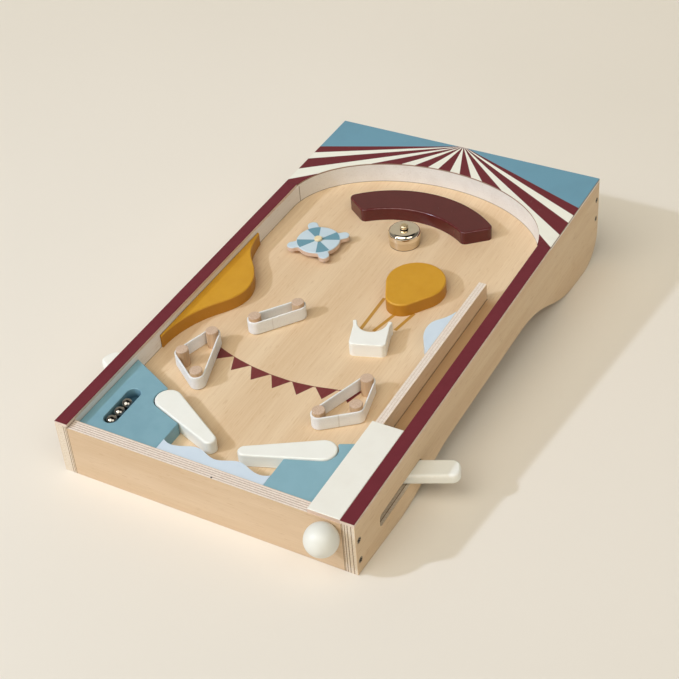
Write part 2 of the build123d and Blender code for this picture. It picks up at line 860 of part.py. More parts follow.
# Steel balls, lying in the tray's slot from its front end
first_ball_y = tray_slot_y - tray_slot_length / 2 + tray_slot_width / 2
ball_z = field_z + tray_floor + ball_lift + ball_radius
for index in range(3):
    with BuildPart() as ball:
        with Locations(at(-tray_slot_x, first_ball_y + index * ball_pitch, ball_z)):
            Sphere(ball_radius)
    save(ball, f"ball_{index + 1}")

# Flippers: blade, shaft through the playfield, lever under it, washer, screw and elastic
shaft_top_z = blade_under_z + shaft_seat
elastic_pin_end_z = elastic_under_z - elastic_drop
for name, sign in sides:
    pivot = (sign * pivot_x, pivot_y)
    outward = rest if sign > 0 else pi - rest
    lever_pin = (
        pivot[0] + elastic_pin_reach * cos(outward),
        pivot[1] + elastic_pin_reach * sin(outward),
    )
    with BuildPart() as blade:
        with BuildSketch(turned_deck(*pivot, blade_under_z, outward)):
            Circle(blade_root_radius)
            with Locations((-blade_length, 0)):
                Circle(blade_tip_radius)
            make_hull()
        extrude(amount=blade_thickness)
        blade_top = blade.faces().sort_by(Axis(at(0, 0, 0), upward))[-1]
        fillet(blade_top.edges(), radius=blade_round)
        with BuildSketch(turned_deck(*pivot, blade_under_z, outward)):
            Circle(shaft_radius + glue_gap)
        extrude(amount=shaft_seat, mode=Mode.SUBTRACT)
    save(blade, f"{name}_flipper_blade")
    with BuildPart() as shaft:
        with BuildSketch(turned_deck(*pivot, lever_under_z, outward)):
            Circle(shaft_radius)
        extrude(amount=shaft_top_z - lever_under_z)
        with BuildSketch(turned_deck(*pivot, lever_under_z, outward)):
            Circle(screw_radius + glue_gap)
        extrude(amount=lever_screw_seat, mode=Mode.SUBTRACT)
    save(shaft, f"{name}_flipper_shaft")
    with BuildPart() as lever:
        with BuildSketch(turned_deck(*pivot, lever_under_z, outward)):
            with Locations(((lever_reach - lever_half) / 2, 0)):
                RectangleRounded(lever_reach + lever_half, lever_width, lever_corner)
            Circle(shaft_radius + glue_gap, mode=Mode.SUBTRACT)
        extrude(amount=lever_thickness)
        lever_top = lever.faces().sort_by(Axis(at(0, 0, 0), upward))[-1]
        fillet(lever_top.outer_wire().edges(), radius=lever_round)
        lever_bottom = lever.faces().sort_by(Axis(at(0, 0, 0), upward))[0]
        fillet(lever_bottom.outer_wire().edges(), radius=lever_round)
        with BuildSketch(deck(lever_under_z)):
            with Locations(lever_pin):
                Circle(elastic_pin_radius + glue_gap)
        extrude(amount=elastic_pin_seat, mode=Mode.SUBTRACT)
    save(lever, f"{name}_flipper_lever")
    with BuildPart() as washer:
        with BuildSketch(turned_deck(*pivot, lever_top_z, outward)):
            Circle(washer_radius)
            Circle(shaft_radius + glue_gap, mode=Mode.SUBTRACT)
        extrude(amount=washer_thickness)
    save(washer, f"{name}_flipper_washer")
    with BuildPart() as lever_screw:
        with BuildSketch(turned_deck(*pivot, lever_under_z, outward)):
            Circle(screw_radius)
        extrude(amount=lever_screw_seat)
        with BuildSketch(turned_deck(*pivot, lever_under_z, outward)):
            Circle(lever_screw_head_radius)
        extrude(amount=-lever_screw_head_height)
    save(lever_screw, f"{name}_flipper_screw")
    with BuildPart() as elastic_pin:
        with BuildSketch(deck(lever_under_z + elastic_pin_seat)):
            with Locations(lever_pin):
                Circle(elastic_pin_radius)
        extrude(amount=elastic_pin_end_z - lever_under_z - elastic_pin_seat)
        with BuildSketch(deck(elastic_pin_end_z)):
            with Locations(lever_pin):
                Circle(elastic_pin_head_radius)
        extrude(amount=-elastic_pin_head_height)
    save(elastic_pin, f"{name}_elastic_pin")
    with BuildPart() as elastic:
        anchor = (sign * elastic_anchor_x, elastic_anchor_y)
        with BuildSketch(deck(elastic_under_z)):
            with Locations(lever_pin, anchor):
                Circle(elastic_pin_radius + open_gap + elastic_thickness)
            make_hull()
        extrude(amount=elastic_height)
        with BuildSketch(deck(elastic_under_z)):
            with Locations(lever_pin, anchor):
                Circle(elastic_pin_radius + open_gap)
            make_hull()
        extrude(amount=elastic_height, mode=Mode.SUBTRACT)
    save(elastic, f"{name}_return_elastic")

# Pins under the playfield that the elastics pull on
with BuildPart() as anchor_pins:
    with BuildSketch(deck(under_field_z + elastic_pin_seat)):
        with Locations(*anchors):
            Circle(elastic_pin_radius)
    extrude(amount=elastic_pin_end_z - under_field_z - elastic_pin_seat)
    with BuildSketch(deck(elastic_pin_end_z)):
        with Locations(*anchors):
            Circle(elastic_pin_head_radius)
    extrude(amount=-elastic_pin_head_height)
save(anchor_pins, "elastic_anchor_pins")


def rod_plane(y):
    """Give the plane square to the plunger's rod at y along the case, facing the back."""
    return Plane(origin=at(lane_middle_x, y, plunger_z), x_dir=across, z_dir=along)


# Plunger: ball knob with a flat base, rod and head
rod_start_y = -knob_gap - knob_seat
with BuildPart() as plunger_knob:
    with Locations(at(lane_middle_x, knob_y, plunger_z)):
        Sphere(knob_radius)
    with BuildSketch(rod_plane(-knob_gap)):
        Circle(knob_radius)
    extrude(amount=knob_radius, mode=Mode.SUBTRACT)
    with BuildSketch(rod_plane(rod_start_y)):
        Circle(rod_radius + glue_gap)
    extrude(amount=knob_seat, mode=Mode.SUBTRACT)
save(plunger_knob, "plunger_knob")
rod_end_y = plunger_head_y + plunger_head_length / 2
with BuildPart() as plunger_rod:
    with BuildSketch(rod_plane(rod_start_y)):
        Circle(rod_radius)
    extrude(amount=rod_end_y - rod_start_y)
save(plunger_rod, "plunger_rod")
with BuildPart() as plunger_head:
    with BuildSketch(rod_plane(plunger_head_y)):
        Circle(plunger_head_radius)
    extrude(amount=plunger_head_length)
    far_face = plunger_head.faces().sort_by(Axis(at(0, 0, 0), along))[-1]
    fillet(far_face.edges(), radius=plunger_head_round)
    with BuildSketch(rod_plane(plunger_head_y)):
        Circle(rod_radius + glue_gap)
    extrude(amount=rod_end_y - plunger_head_y, mode=Mode.SUBTRACT)
save(plunger_head, "plunger_head")

# Plunger's spring: a coil of quarter turns, each of two arcs, with ends that run straight along the rod
wire_diameter = 2 * coil_wire_radius
coil_start_y = panel_thickness + coil_end_gap
coil_end_y = plunger_head_y - coil_end_gap
coil_quarters = quarters_per_turn * coil_turns
quarter_turn = 2 * pi / quarters_per_turn
lead_in = wire_diameter + coil_radius
coil_rise = (coil_end_y - coil_start_y - 2 * lead_in) / coil_quarters
radial_speed = coil_radius * quarter_turn


def coil_point(quarter):
    """Give the point of the coil's middle line after a number of quarter turns."""
    turn = quarter * quarter_turn
    middle = at(lane_middle_x, coil_start_y + lead_in + quarter * coil_rise, plunger_z)
    return middle + across * (coil_radius * cos(turn)) + upward * (coil_radius * sin(turn))


def coil_heading(quarter):
    """Give the coil's direction after a number of quarter turns."""
    turn = quarter * quarter_turn
    heading = across * (-radial_speed * sin(turn)) + upward * (radial_speed * cos(turn)) + along * coil_rise
    return heading.normalized()


def two_arcs(start, start_heading, end, end_heading):
    """Draw two arcs that leave start and reach end in the given directions."""
    span = end - start
    turning = 1 - start_heading.dot(end_heading)
    advance = span.dot(start_heading + end_heading)
    reach = (sqrt(advance**2 + 2 * turning * span.dot(span)) - advance) / (2 * turning)
    leaving = start + start_heading * reach
    arriving = end - end_heading * reach
    middle = (leaving + arriving) * 0.5
    TangentArc(start, middle, tangent=start_heading)
    TangentArc(middle, end, tangent=arriving - leaving)


straight = along * wire_diameter
coil_first = coil_point(-1) + along * (wire_diameter - lead_in + coil_rise)
coil_last = coil_point(coil_quarters + 1) + along * (lead_in - wire_diameter - coil_rise)
with BuildPart() as plunger_spring:
    with BuildLine() as coil_path:
        spring_start = coil_first - straight
        Line(spring_start, coil_first)
        two_arcs(coil_first, along, coil_point(0), coil_heading(0))
        for quarter in range(coil_quarters):
            two_arcs(
                coil_point(quarter),
                coil_heading(quarter),
                coil_point(quarter + 1),
                coil_heading(quarter + 1),
            )
        two_arcs(coil_point(coil_quarters), coil_heading(coil_quarters), coil_last, along)
        Line(coil_last, coil_last + straight)
    with BuildSketch(Plane(origin=spring_start, x_dir=across, z_dir=along)):
        Circle(coil_wire_radius)
    sweep(path=coil_path.wire())
save(plunger_spring, "plunger_spring")
turn_gap = min(
    (coil_point(quarter + quarters_per_turn) - coil_point(quarter)).length - wire_diameter
    for quarter in range(coil_quarters - quarters_per_turn + 1)
)
print(f"plunger spring: least gap between turns {turn_gap:.2f} mm")
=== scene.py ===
"""Looks of a small wooden tabletop pinball game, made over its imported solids.

The game's own lengths are in millimetres in the case's frame: x across, y from the front panel to the back,
z up from the rail tops. The case is tipped on its feet, and CaseFrame turns that frame into metres in the
row frame.
"""

import logging
import math
from dataclasses import dataclass
from enum import Enum
from functools import partialmethod, reduce
from itertools import product

import bmesh
import bpy
from mathutils import Matrix, Vector


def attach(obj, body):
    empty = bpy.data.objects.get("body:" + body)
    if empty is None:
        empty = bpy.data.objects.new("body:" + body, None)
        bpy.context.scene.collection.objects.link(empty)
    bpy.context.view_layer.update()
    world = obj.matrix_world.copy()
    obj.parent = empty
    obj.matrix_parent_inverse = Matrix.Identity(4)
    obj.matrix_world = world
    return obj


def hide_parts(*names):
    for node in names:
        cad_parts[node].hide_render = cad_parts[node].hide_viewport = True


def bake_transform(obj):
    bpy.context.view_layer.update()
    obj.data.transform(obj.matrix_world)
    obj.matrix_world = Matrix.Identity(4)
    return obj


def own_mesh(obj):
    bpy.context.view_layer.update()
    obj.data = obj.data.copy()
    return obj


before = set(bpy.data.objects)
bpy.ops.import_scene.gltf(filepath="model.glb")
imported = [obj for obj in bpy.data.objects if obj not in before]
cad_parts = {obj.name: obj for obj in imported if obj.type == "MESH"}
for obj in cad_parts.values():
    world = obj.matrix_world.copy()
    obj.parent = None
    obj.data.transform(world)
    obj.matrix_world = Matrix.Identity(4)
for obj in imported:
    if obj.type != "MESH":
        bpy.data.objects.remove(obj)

log = logging.getLogger("pinball")

Colour = tuple[float, float, float, float]
Spot = tuple[float, float]
Place = tuple[float, float, float]
Run = tuple[Spot, Spot]
Flag = tuple[Spot, Spot, Spot]
Number = "Wire | float"
Material = bpy.types.Material
Shape = bmesh.types.BMesh
Edge = bmesh.types.BMEdge
Vert = bmesh.types.BMVert

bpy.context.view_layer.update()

# The values that most of a random field lies between, and those that only its upper part reaches.
MOST: Spot = (0.3, 0.7)
UPPER: Spot = (0.4, 0.8)

# Points of a new piece that lie closer than this are joined, and edges that bend more than this stay sharp.
WELD = 0.004
SHARP_FROM = math.radians(38)


class Axis(Enum):
    """A direction of the case: across it, along it or up from it."""

    ACROSS = 0
    ALONG = 1
    UP = 2


class Side(Enum):
    """A side of the case, as the sign of x there."""

    LEFT = -1
    RIGHT = 1


def tint(*screen: float) -> Colour:
    """Turn a swatch's red, green and blue, from 0 to 255, into a shader colour by the usual screen curve."""
    shares = [value / 255 for value in screen]
    return (*(s / 12.92 if s <= 0.04045 else ((s + 0.055) / 1.055) ** 2.4 for s in shares), 1.0)


@dataclass(frozen=True)
class CaseFrame:
    """Where the tipped case sits in the row frame."""

    tilt: float = math.radians(4.2)
    origin: Place = (0.0, -0.21526145, 0.04986572)
    metre: float = 0.001

    def matrix(self) -> Matrix:
        """Give the transform from case millimetres to row metres."""
        turned = Matrix.Rotation(self.tilt, 4, "X") @ Matrix.Scale(self.metre, 4)
        return Matrix.Translation(self.origin) @ turned

    def point(self, x: float, y: float, z: float) -> Vector:
        """Give the row point of a place in the case."""
        return self.matrix() @ Vector((x, y, z))

    def heading(self, x: float, y: float, z: float) -> Vector:
        """Give the row direction of a direction in the case."""
        return Matrix.Rotation(self.tilt, 3, "X") @ Vector((x, y, z))


CASE = CaseFrame()


class Wire:
    """An output socket of a node tree that takes part in plain arithmetic."""

    def __init__(self, graph: "Graph", socket: bpy.types.NodeSocket) -> None:
        """Keep the socket and the tree it belongs to."""
        self.graph = graph
        self.socket = socket

    def sibling(self, output: int) -> "Wire":
        """Give another output of the same node."""
        return Wire(self.graph, self.socket.node.outputs[output])

    def worked(self, operation: str, *others: Number) -> "Wire":
        """Put the wire through one Math node, with other values or wires."""
        return self.graph.math(operation, self, *others)

    def __rsub__(self, other: Number) -> "Wire":
        """Be taken away from a value."""
        return self.graph.math("SUBTRACT", other, self)

    __add__ = __radd__ = partialmethod(worked, "ADD")
    __sub__ = partialmethod(worked, "SUBTRACT")
    __mul__ = partialmethod(worked, "MULTIPLY")
    __mod__ = partialmethod(worked, "FLOORED_MODULO")
    __abs__ = partialmethod(worked, "ABSOLUTE")
    least = partialmethod(worked, "MINIMUM")
    most = partialmethod(worked, "MAXIMUM")

    def rise(self, low: float, high: float) -> "Wire":
        """Go smoothly from 0 at the low value to 1 at the high one."""
        span = {"Value": self, "From Min": low, "From Max": high}
        return self.graph.node("ShaderNodeMapRange", span, interpolation_type="SMOOTHSTEP", clamp=True)

    def past(self, value: float, soft: float) -> "Wire":
        """Go from 0 to 1 where a value is passed, within a soft width on both sides of it."""
        return self.rise(value - soft, value + soft)

    def band(self, middle: float, half: float, soft: float) -> "Wire":
        """Give 1 within half of a middle value and 0 outside, with soft ends."""
        return 1 - abs(self - middle).past(half, soft)


class Graph:
    """A node tree that is built from expressions."""

    def __init__(self, owner: Material | bpy.types.World) -> None:
        """Empty the owner's tree and keep it.

        Args:
            owner: The material or world whose nodes these are.
        """
        owner.use_nodes = True
        self.tree = owner.node_tree
        self.tree.nodes.clear()

    def node(self, kind: str, inputs: dict, output: int | str = 0, **settings: object) -> Wire | None:
        """Add any node.

        Args:
            kind: The node's type.
            inputs: Values or wires by socket name or number.
            output: The output to give.
            settings: The node's own options, set first.

        Returns:
            The chosen output, or None for a node that has none.
        """
        made = self.tree.nodes.new(kind)
        for key, value in settings.items():
            setattr(made, key, value)
        for key, value in inputs.items():
            if isinstance(value, Wire):
                self.tree.links.new(value.socket, made.inputs[key])
            else:
                made.inputs[key].default_value = value
        return Wire(self, made.outputs[output]) if made.outputs else None

    def math(self, operation: str, *values: Number) -> Wire:
        """Add one Math node on values or wires."""
        return self.node("ShaderNodeMath", dict(enumerate(values)), operation=operation)

    def mix(self, first: Wire | Colour, second: Wire | Colour, share: Wire) -> Wire:
        """Go from one colour at share 0 to another at share 1."""
        return self.node("ShaderNodeMix", {0: share, 6: first, 7: second}, 2, data_type="RGBA")

    def facing(self, direction: Wire, axis: Place) -> Wire:
        """Give the dot product of a wired direction with a fixed one."""
        both = {0: direction, 1: axis}
        return self.node("ShaderNodeVectorMath", both, "Value", operation="DOT_PRODUCT")


class Surface(Graph):
    """The node tree of one finish, read in the case's millimetres."""

    def __init__(self, name: str) -> None:
        """Start an empty finish and lay the case's frame over it.

        Args:
            name: The finish's name.
        """
        self.material = bpy.data.materials.new(name)
        super().__init__(self.material)
        case = {
            "Vector": self.node("ShaderNodeTexCoord", {}, "Object"),
            "Location": -(Matrix.Rotation(-CASE.tilt, 3, "X") @ Vector(CASE.origin)) / CASE.metre,
            "Rotation": (-CASE.tilt, 0.0, 0.0),
            "Scale": (1 / CASE.metre,) * 3,
        }
        self.place = self.node("ShaderNodeMapping", case, vector_type="POINT")
        self.x = self.node("ShaderNodeSeparateXYZ", {"Vector": self.place})
        self.y, self.z = self.x.sibling(1), self.x.sibling(2)

    def noise(self, waves: float | Place, detail: float = 2.0, twist: float = 0.0) -> Wire:
        """Give a soft random field from 0 to 1.

        Args:
            waves: Waves per millimetre, alike all ways or across, along and up.
            detail: Number of finer layers.
            twist: How far the field is dragged about by itself.

        Returns:
            The field.
        """
        each_way = waves if isinstance(waves, tuple) else (waves,) * 3
        spread = self.node("ShaderNodeVectorMath", {0: self.place, 1: each_way}, operation="MULTIPLY")
        inputs = {"Vector": spread, "Scale": 1.0, "Detail": detail, "Distortion": twist}
        return self.node("ShaderNodeTexNoise", inputs, noise_dimensions="3D")

    def satin(self, base: float, spread: float, waves: float | Place, detail: float = 2.0) -> Wire:
        """Give a roughness that wanders up from a base, as on handled lacquer."""
        return base + self.noise(waves, detail).rise(*MOST) * spread

    def beyond(self, start: Spot, end: Spot) -> Wire:
        """Give how many millimetres a place lies to the left of the line from start to end."""
        normal = (Vector(end) - Vector(start)).orthogonal().normalized()
        return self.facing(self.place, normal.to_3d()) - normal.dot(Vector(start))

    def shade(
        self, colour: Wire, roughness: Wire, height: Wire, depth: float, fixed: dict | None = None
    ) -> Material:
        """Close the finish with its shader.

        Args:
            colour: Base colour over the surface.
            roughness: Roughness over the surface.
            height: Relief, in shares of depth.
            depth: Height of the relief in millimetres.
            fixed: Values that are the same all over, by socket name.

        Returns:
            The finished material.
        """
        relief = {"Height": height, "Distance": depth * CASE.metre, "Strength": 1.0}
        bump = self.node("ShaderNodeBump", relief)
        inputs = {"Base Color": colour, "Roughness": roughness, "Normal": bump, **(fixed or {})}
        shader = self.node("ShaderNodeBsdfPrincipled", inputs)
        self.node("ShaderNodeOutputMaterial", {"Surface": shader})
        return self.material


@dataclass(frozen=True)
class Grain:
    """The figure of a wood: streaks, fibres and short flecks that run one way."""

    light: Colour
    dark: Colour
    fleck: Colour
    runs: Axis = Axis.ALONG
    streak_wave: float = 0.075
    streak_pull: float = 0.05
    streak_share: float = 0.6
    fibre_wave: float = 1.3
    fibre_pull: float = 0.022
    fleck_wave: float = 0.75
    fleck_pull: float = 0.13
    fleck_share: float = 0.4
    fleck_from: Spot = (0.62, 0.74)

    def waves(self, wave: float, pull: float) -> Place:
        """Stretch a wave along the grain."""
        return tuple(wave * pull if axis is self.runs else wave for axis in Axis)

    def figure(self, surface: Surface) -> tuple[Wire, Wire]:
        """Lay the figure on a surface.

        Args:
            surface: The finish that takes it.

        Returns:
            The wood's colour and its relief from 0 to 1.
        """
        streak = surface.noise(self.waves(self.streak_wave, self.streak_pull), detail=3.0, twist=0.5)
        fibre = surface.noise(self.waves(self.fibre_wave, self.fibre_pull), twist=0.2)
        dash = surface.noise(self.waves(self.fleck_wave, self.fleck_pull), detail=1.0).rise(*self.fleck_from)
        tone = streak.rise(*MOST) * self.streak_share + fibre.rise(*MOST) * (1 - self.streak_share)
        plain = surface.mix(self.light, self.dark, tone)
        return surface.mix(plain, self.fleck, dash * self.fleck_share), fibre * 0.7 - dash * 0.3


BEECH = Grain(tint(229, 204, 170), tint(216, 185, 147), tint(197, 159, 118))
# The front and back panels' beech, with its grain across, is a darker copy of BEECH: painted shade on those
# panels.
BEECH_ACROSS = Grain(tint(219, 193, 161), tint(206, 176, 140), tint(190, 154, 115), Axis.ACROSS)
PALE_WOOD = Grain(tint(245, 242, 238), tint(235, 231, 226), tint(218, 209, 199))


@dataclass(frozen=True)
class Finish:
    """What every finish has in common: its name, and that it can be made."""

    name: str

    def make(self) -> Material:
        """Make the finish's material."""
        raise NotImplementedError(self.name)


@dataclass(frozen=True)
class PlywoodFinish(Finish):
    """Lacquered plywood whose plies show wherever a panel's edge is cut."""

    grain: Grain
    plies_face: Axis
    start: float
    thickness: float
    glue_lines: tuple[float, ...]
    glue_half: float = 0.3
    glue_core: float = 0.65
    face_skin: float = 0.35
    edge_wave: float = 0.9
    edge_light: Colour = tint(240, 228, 216)
    edge_dark: Colour = tint(226, 209, 194)
    glue: Colour = tint(146, 108, 82)
    gap_at: float | None = None
    gap: Colour = tint(88, 58, 38)
    pin_mark: Place | None = None
    pin_half: Spot = (0.55, 0.8)
    pin: Colour = tint(58, 40, 34)

    def make(self) -> Material:
        """Make the finish from the depth into the panel.

        Returns:
            The material.
        """
        surface = Surface(self.name)
        wood, relief = self.grain.figure(surface)
        axes = (surface.x, surface.y, surface.z)
        depth = axes[self.plies_face.value] - self.start
        inside = depth.band(self.thickness / 2, self.thickness / 2 - self.face_skin, soft=0.05)
        core, soft = self.glue_half * self.glue_core, self.glue_half * (1 - self.glue_core)
        glue = reduce(Wire.most, [depth.band(line, core, soft) for line in self.glue_lines])
        fibres = surface.noise(self.edge_wave)
        edge = surface.mix(self.edge_light, self.edge_dark, fibres.rise(0.3, 0.75))
        edge = surface.mix(edge, self.glue, glue * (0.65 + fibres * 0.4))
        colour = surface.mix(wood, edge, inside)
        if self.gap_at is not None:
            joint = abs(surface.x).rise(self.gap_at - 0.75, self.gap_at - 0.3)
            colour = surface.mix(colour, self.gap, joint * 0.85)
        if self.pin_mark is not None:
            reach = reduce(Wire.most, [abs(axis - at) for axis, at in zip(axes, self.pin_mark)])
            colour = surface.mix(colour, self.pin, 1 - reach.rise(*self.pin_half))
        roughness = surface.satin(base=0.42, spread=0.1, waves=0.03) + inside * 0.18
        return surface.shade(colour, roughness, relief - glue * 0.6 * inside, 0.05, {"IOR": 1.45})


@dataclass(frozen=True)
class WoodFinish(Finish):
    """Plain sanded wood with a thin lacquer; where it stands as a wall, a dark butt joint and painted shade
    along its foot.
    """

    grain: Grain
    roughness: float = 0.45
    relief_depth: float = 0.05
    foot_z: float | None = None
    butt_y: float = 342.0
    # Colour of the butt joint, and of the painted shade along the foot.
    joint: Colour = tint(116, 92, 70)

    def make(self) -> Material:
        """Make the finish.

        Returns:
            The material.
        """
        surface = Surface(self.name)
        wood, relief = self.grain.figure(surface)
        if self.foot_z is not None:
            # Painted shade along the foot, where the wall meets the field; the butt is a dark joint.
            foot = 1 - surface.z.rise(self.foot_z + 0.35, self.foot_z + 0.8)
            butt = surface.y.band(self.butt_y, 0.4, soft=0.15)
            wood = surface.mix(wood, self.joint, foot.most(butt) * 0.75)
        roughness = surface.satin(self.roughness, spread=0.12, waves=0.04)
        return surface.shade(wood, roughness, relief, self.relief_depth)


@dataclass(frozen=True)
class DowelFinish(Finish):
    """Turned dowel, pinkish where its end grain is cut."""

    top_z: float
    end_zone: float = 1.1
    grain: Grain = Grain(tint(214, 183, 148), tint(192, 155, 118), tint(170, 130, 96), Axis.UP)
    end_light: Colour = tint(216, 190, 166)
    end_dark: Colour = tint(193, 161, 136)
    pore_waves: Place = (1.9, 1.9, 0.2)

    def make(self) -> Material:
        """Make the finish from the height up the dowel.

        Returns:
            The material.
        """
        surface = Surface(self.name)
        wood, relief = self.grain.figure(surface)
        pores = surface.noise(self.pore_waves, detail=3.0)
        end = surface.mix(self.end_light, self.end_dark, pores.rise(0.35, 0.7))
        share = surface.z.rise(self.top_z - self.end_zone, self.top_z - self.end_zone / 2)
        colour = surface.mix(wood, end, share)
        return surface.shade(colour, 0.5 + share * 0.14, relief * 0.6 + pores * share * 0.5, 0.06)


@dataclass(frozen=True)
class PaintFinish(Finish):
    """Satin paint on wood: faint grain through it, small mottles, thin paint and a painted highlight on the
    top arris, a few nicks.
    """

    colour: Colour
    deep: Colour
    # Colour of the nicks, and of the painted highlight and thin paint on the top arris.
    wear_and_painted_light: Colour
    top_z: float
    arris: float = 1.0
    roughness: float = 0.34
    coat: float = 0.12
    relief_depth: float = 0.03
    gleam: float = 0.5
    mottle: float = 0.55
    # How strongly the painted arris highlight and the nicks show.
    highlight_and_nicks: float = 0.5
    # Painted shade: a darker colour for the sides below the top arris.
    side: Colour | None = None
    # Where a wall stands beside the top, and the colour of the painted shade in the gap along it.
    wall_x: float | None = None
    wall_gap_shade: Colour = tint(74, 52, 34)
    bare: Colour | None = None
    bare_rings: Colour = tint(196, 164, 138)
    bare_below: float = 0.0
    mottle_wave: float = 0.07
    grain_waves: Place = (0.8, 0.03, 0.8)
    rub_wave: float = 0.22
    nick_wave: float = 0.55
    nick_from: Spot = (0.81, 0.84)
    ring_waves: Place = (0.25, 0.25, 2.2)

    def coloured(self, surface: Surface) -> Wire:
        """Give the paint's own colour over a surface."""
        mottle = surface.noise(self.mottle_wave, detail=3.0).rise(0.3, 0.75)
        return surface.mix(self.colour, self.deep, mottle * self.mottle)

    def make(self) -> Material:
        """Make the finish.

        Returns:
            The material.
        """
        surface = Surface(self.name)
        paint = self.coloured(surface)
        grain = surface.noise(self.grain_waves)
        rub = surface.noise(self.rub_wave).rise(*UPPER)
        low, high = self.top_z - self.arris, self.top_z - self.arris * 0.1
        # Painted shade on the sides below the arris.
        if self.side is not None:
            paint = surface.mix(paint, self.side, 1 - surface.z.rise(low - 0.6, low))
        # The band just under the top takes the worn colour: a painted highlight on the arris, with the paint
        # thin there too.
        below_top = 1 - surface.z.rise(high - self.arris * 0.3, high)
        arris = surface.z.rise(low, low + self.arris * 0.45) * below_top
        colour = surface.mix(paint, self.wear_and_painted_light, arris * (rub + 0.3) * self.highlight_and_nicks)
        nick = surface.noise(self.nick_wave, detail=1.0).rise(*self.nick_from) * self.highlight_and_nicks
        colour = surface.mix(colour, self.wear_and_painted_light, nick)
        # Painted shade in the gap between the top and the wall beside it.
        if self.wall_x is not None:
            gap = 1 - abs(surface.x - self.wall_x).rise(0.3, 0.75)
            colour = surface.mix(colour, self.wall_gap_shade, gap * 0.7)
        roughness = self.roughness + rub * 0.1 + grain * 0.06
        if self.bare is not None:
            raw = 1 - surface.z.past(self.bare_below, soft=0.08)
            rings = surface.noise(self.ring_waves).rise(0.35, 0.7)
            colour = surface.mix(colour, surface.mix(self.bare, self.bare_rings, rings * 0.6), raw)
            roughness = roughness + raw * 0.15
        fixed = {"Coat Weight": self.coat, "Specular IOR Level": self.gleam}
        return surface.shade(colour, roughness, grain * 0.6 - nick * 0.8, self.relief_depth, fixed)


@dataclass(frozen=True)
class TrayPaint(PaintFinish):
    """Block paint with painted shade down in the slot that holds the balls, darkest round the balls."""

    slot: Spot = (-95.3, 41.4)
    slot_half: Spot = (5.9, 20.4)
    slot_shade: Spot = (-16.0, -9.0)
    balls_end: Spot = (47.0, 55.0)
    # Painted shade on the slot's floor, and the darker painted shade round the balls.
    slot_floor_shade: Colour = tint(62, 98, 117)
    shade_round_balls: Colour = tint(30, 29, 31)

    def coloured(self, surface: Surface) -> Wire:
        """Give block paint with painted shade down in the slot.

        Args:
            surface: The finish that takes it.

        Returns:
            The paint's colour.
        """
        across = surface.x.band(self.slot[0], self.slot_half[0], soft=0.1)
        along = surface.y.band(self.slot[1], self.slot_half[1], soft=0.1)
        down = 1 - surface.z.rise(*self.slot_shade)
        slot = surface.mix(self.shade_round_balls, self.slot_floor_shade, surface.y.rise(*self.balls_end))
        return surface.mix(super().coloured(surface), slot, across * along * down)


@dataclass(frozen=True)
class SpinnerPaint(PaintFinish):
    """Light spinner paint with a dark sector in line with each arm."""

    middle: Spot = (-64.0, 287.96)
    arm_turn: float = 40.8
    arm_step: float = 90.0
    sector_half: float = 18.75
    sector_reach: float = 18.2
    sector: Colour = tint(104, 152, 170)

    def coloured(self, surface: Surface) -> Wire:
        """Give light paint with four darker sectors inside the disc.

        Args:
            surface: The finish that takes it.

        Returns:
            The paint's colour.
        """
        across, along = surface.x - self.middle[0], surface.y - self.middle[1]
        distance = surface.math("SQRT", across * across + along * along)
        turn = surface.math("ARCTAN2", along, across) * math.degrees(1.0)
        off = abs((turn - self.arm_turn + self.arm_step / 2) % self.arm_step - self.arm_step / 2)
        inside = 1 - distance.past(self.sector_reach, soft=0.12)
        sector = 1 - off.past(self.sector_half, soft=0.6)
        return surface.mix(super().coloured(surface), self.sector, sector * inside)


@dataclass(frozen=True)
class RayPrint(Finish):
    """Printed board: light and dark rays that fan out from the middle of its back edge."""

    middle: Spot = (-4.6, 451.3)
    lean: float = 0.6
    bounds: tuple[float, ...] = (7.8, 19.8, 31.8, 40.0, 48.9, 54.1, 60.0, 64.0, 68.3)
    soft: float = 0.12
    print_z: float = -0.35
    joint_y: float = 340.2
    dark: Colour = tint(110, 38, 47)
    light: Colour = tint(243, 242, 229)
    corner: Colour = tint(110, 157, 178)
    speckle: Colour = tint(205, 190, 170)
    cloud: Colour = tint(60, 45, 45)
    joint: Colour = tint(70, 40, 40)
    rim: Colour = tint(150, 114, 90)
    speck_waves: Place = (0.5, 0.12, 0.5)
    cloud_wave: float = 0.03

    def make(self) -> Material:
        """Make the print on the top face and pale plies on the board's edge.

        Returns:
            The material.
        """
        surface = Surface(self.name)
        turn = surface.math("ARCTAN2", surface.x - self.middle[0], self.middle[1] - surface.y)
        off = abs(turn * math.degrees(1.0) - self.lean)
        *steps, outermost = [off.past(bound, self.soft) for bound in self.bounds]
        rays = reduce(Wire.__sub__, steps[1::2], reduce(Wire.__add__, steps[::2]))
        colour = surface.mix(surface.mix(self.dark, self.light, rays), self.corner, outermost)
        speck = surface.noise(self.speck_waves, detail=3.0)
        colour = surface.mix(colour, self.speckle, speck.rise(0.62, 0.9) * 0.16)
        cloud = surface.noise(self.cloud_wave, detail=3.0)
        colour = surface.mix(colour, self.cloud, cloud.rise(0.45, 0.85) * 0.07)
        joint = 1 - surface.y.rise(self.joint_y, self.joint_y + 0.5)
        colour = surface.mix(colour, self.joint, joint * 0.7)
        edge, relief = PALE_WOOD.figure(surface)
        edge = surface.mix(edge, self.rim, surface.z.rise(self.print_z - 1.4, self.print_z - 1.0) * 0.85)
        on_top = surface.z.past(self.print_z, soft=0.06)
        roughness = 0.58 - on_top * 0.16 + cloud * 0.08
        height = relief * 0.5 + speck * 0.3
        return surface.shade(
            surface.mix(edge, colour, on_top), roughness, height, 0.035, {"Specular IOR Level": 0.25}
        )


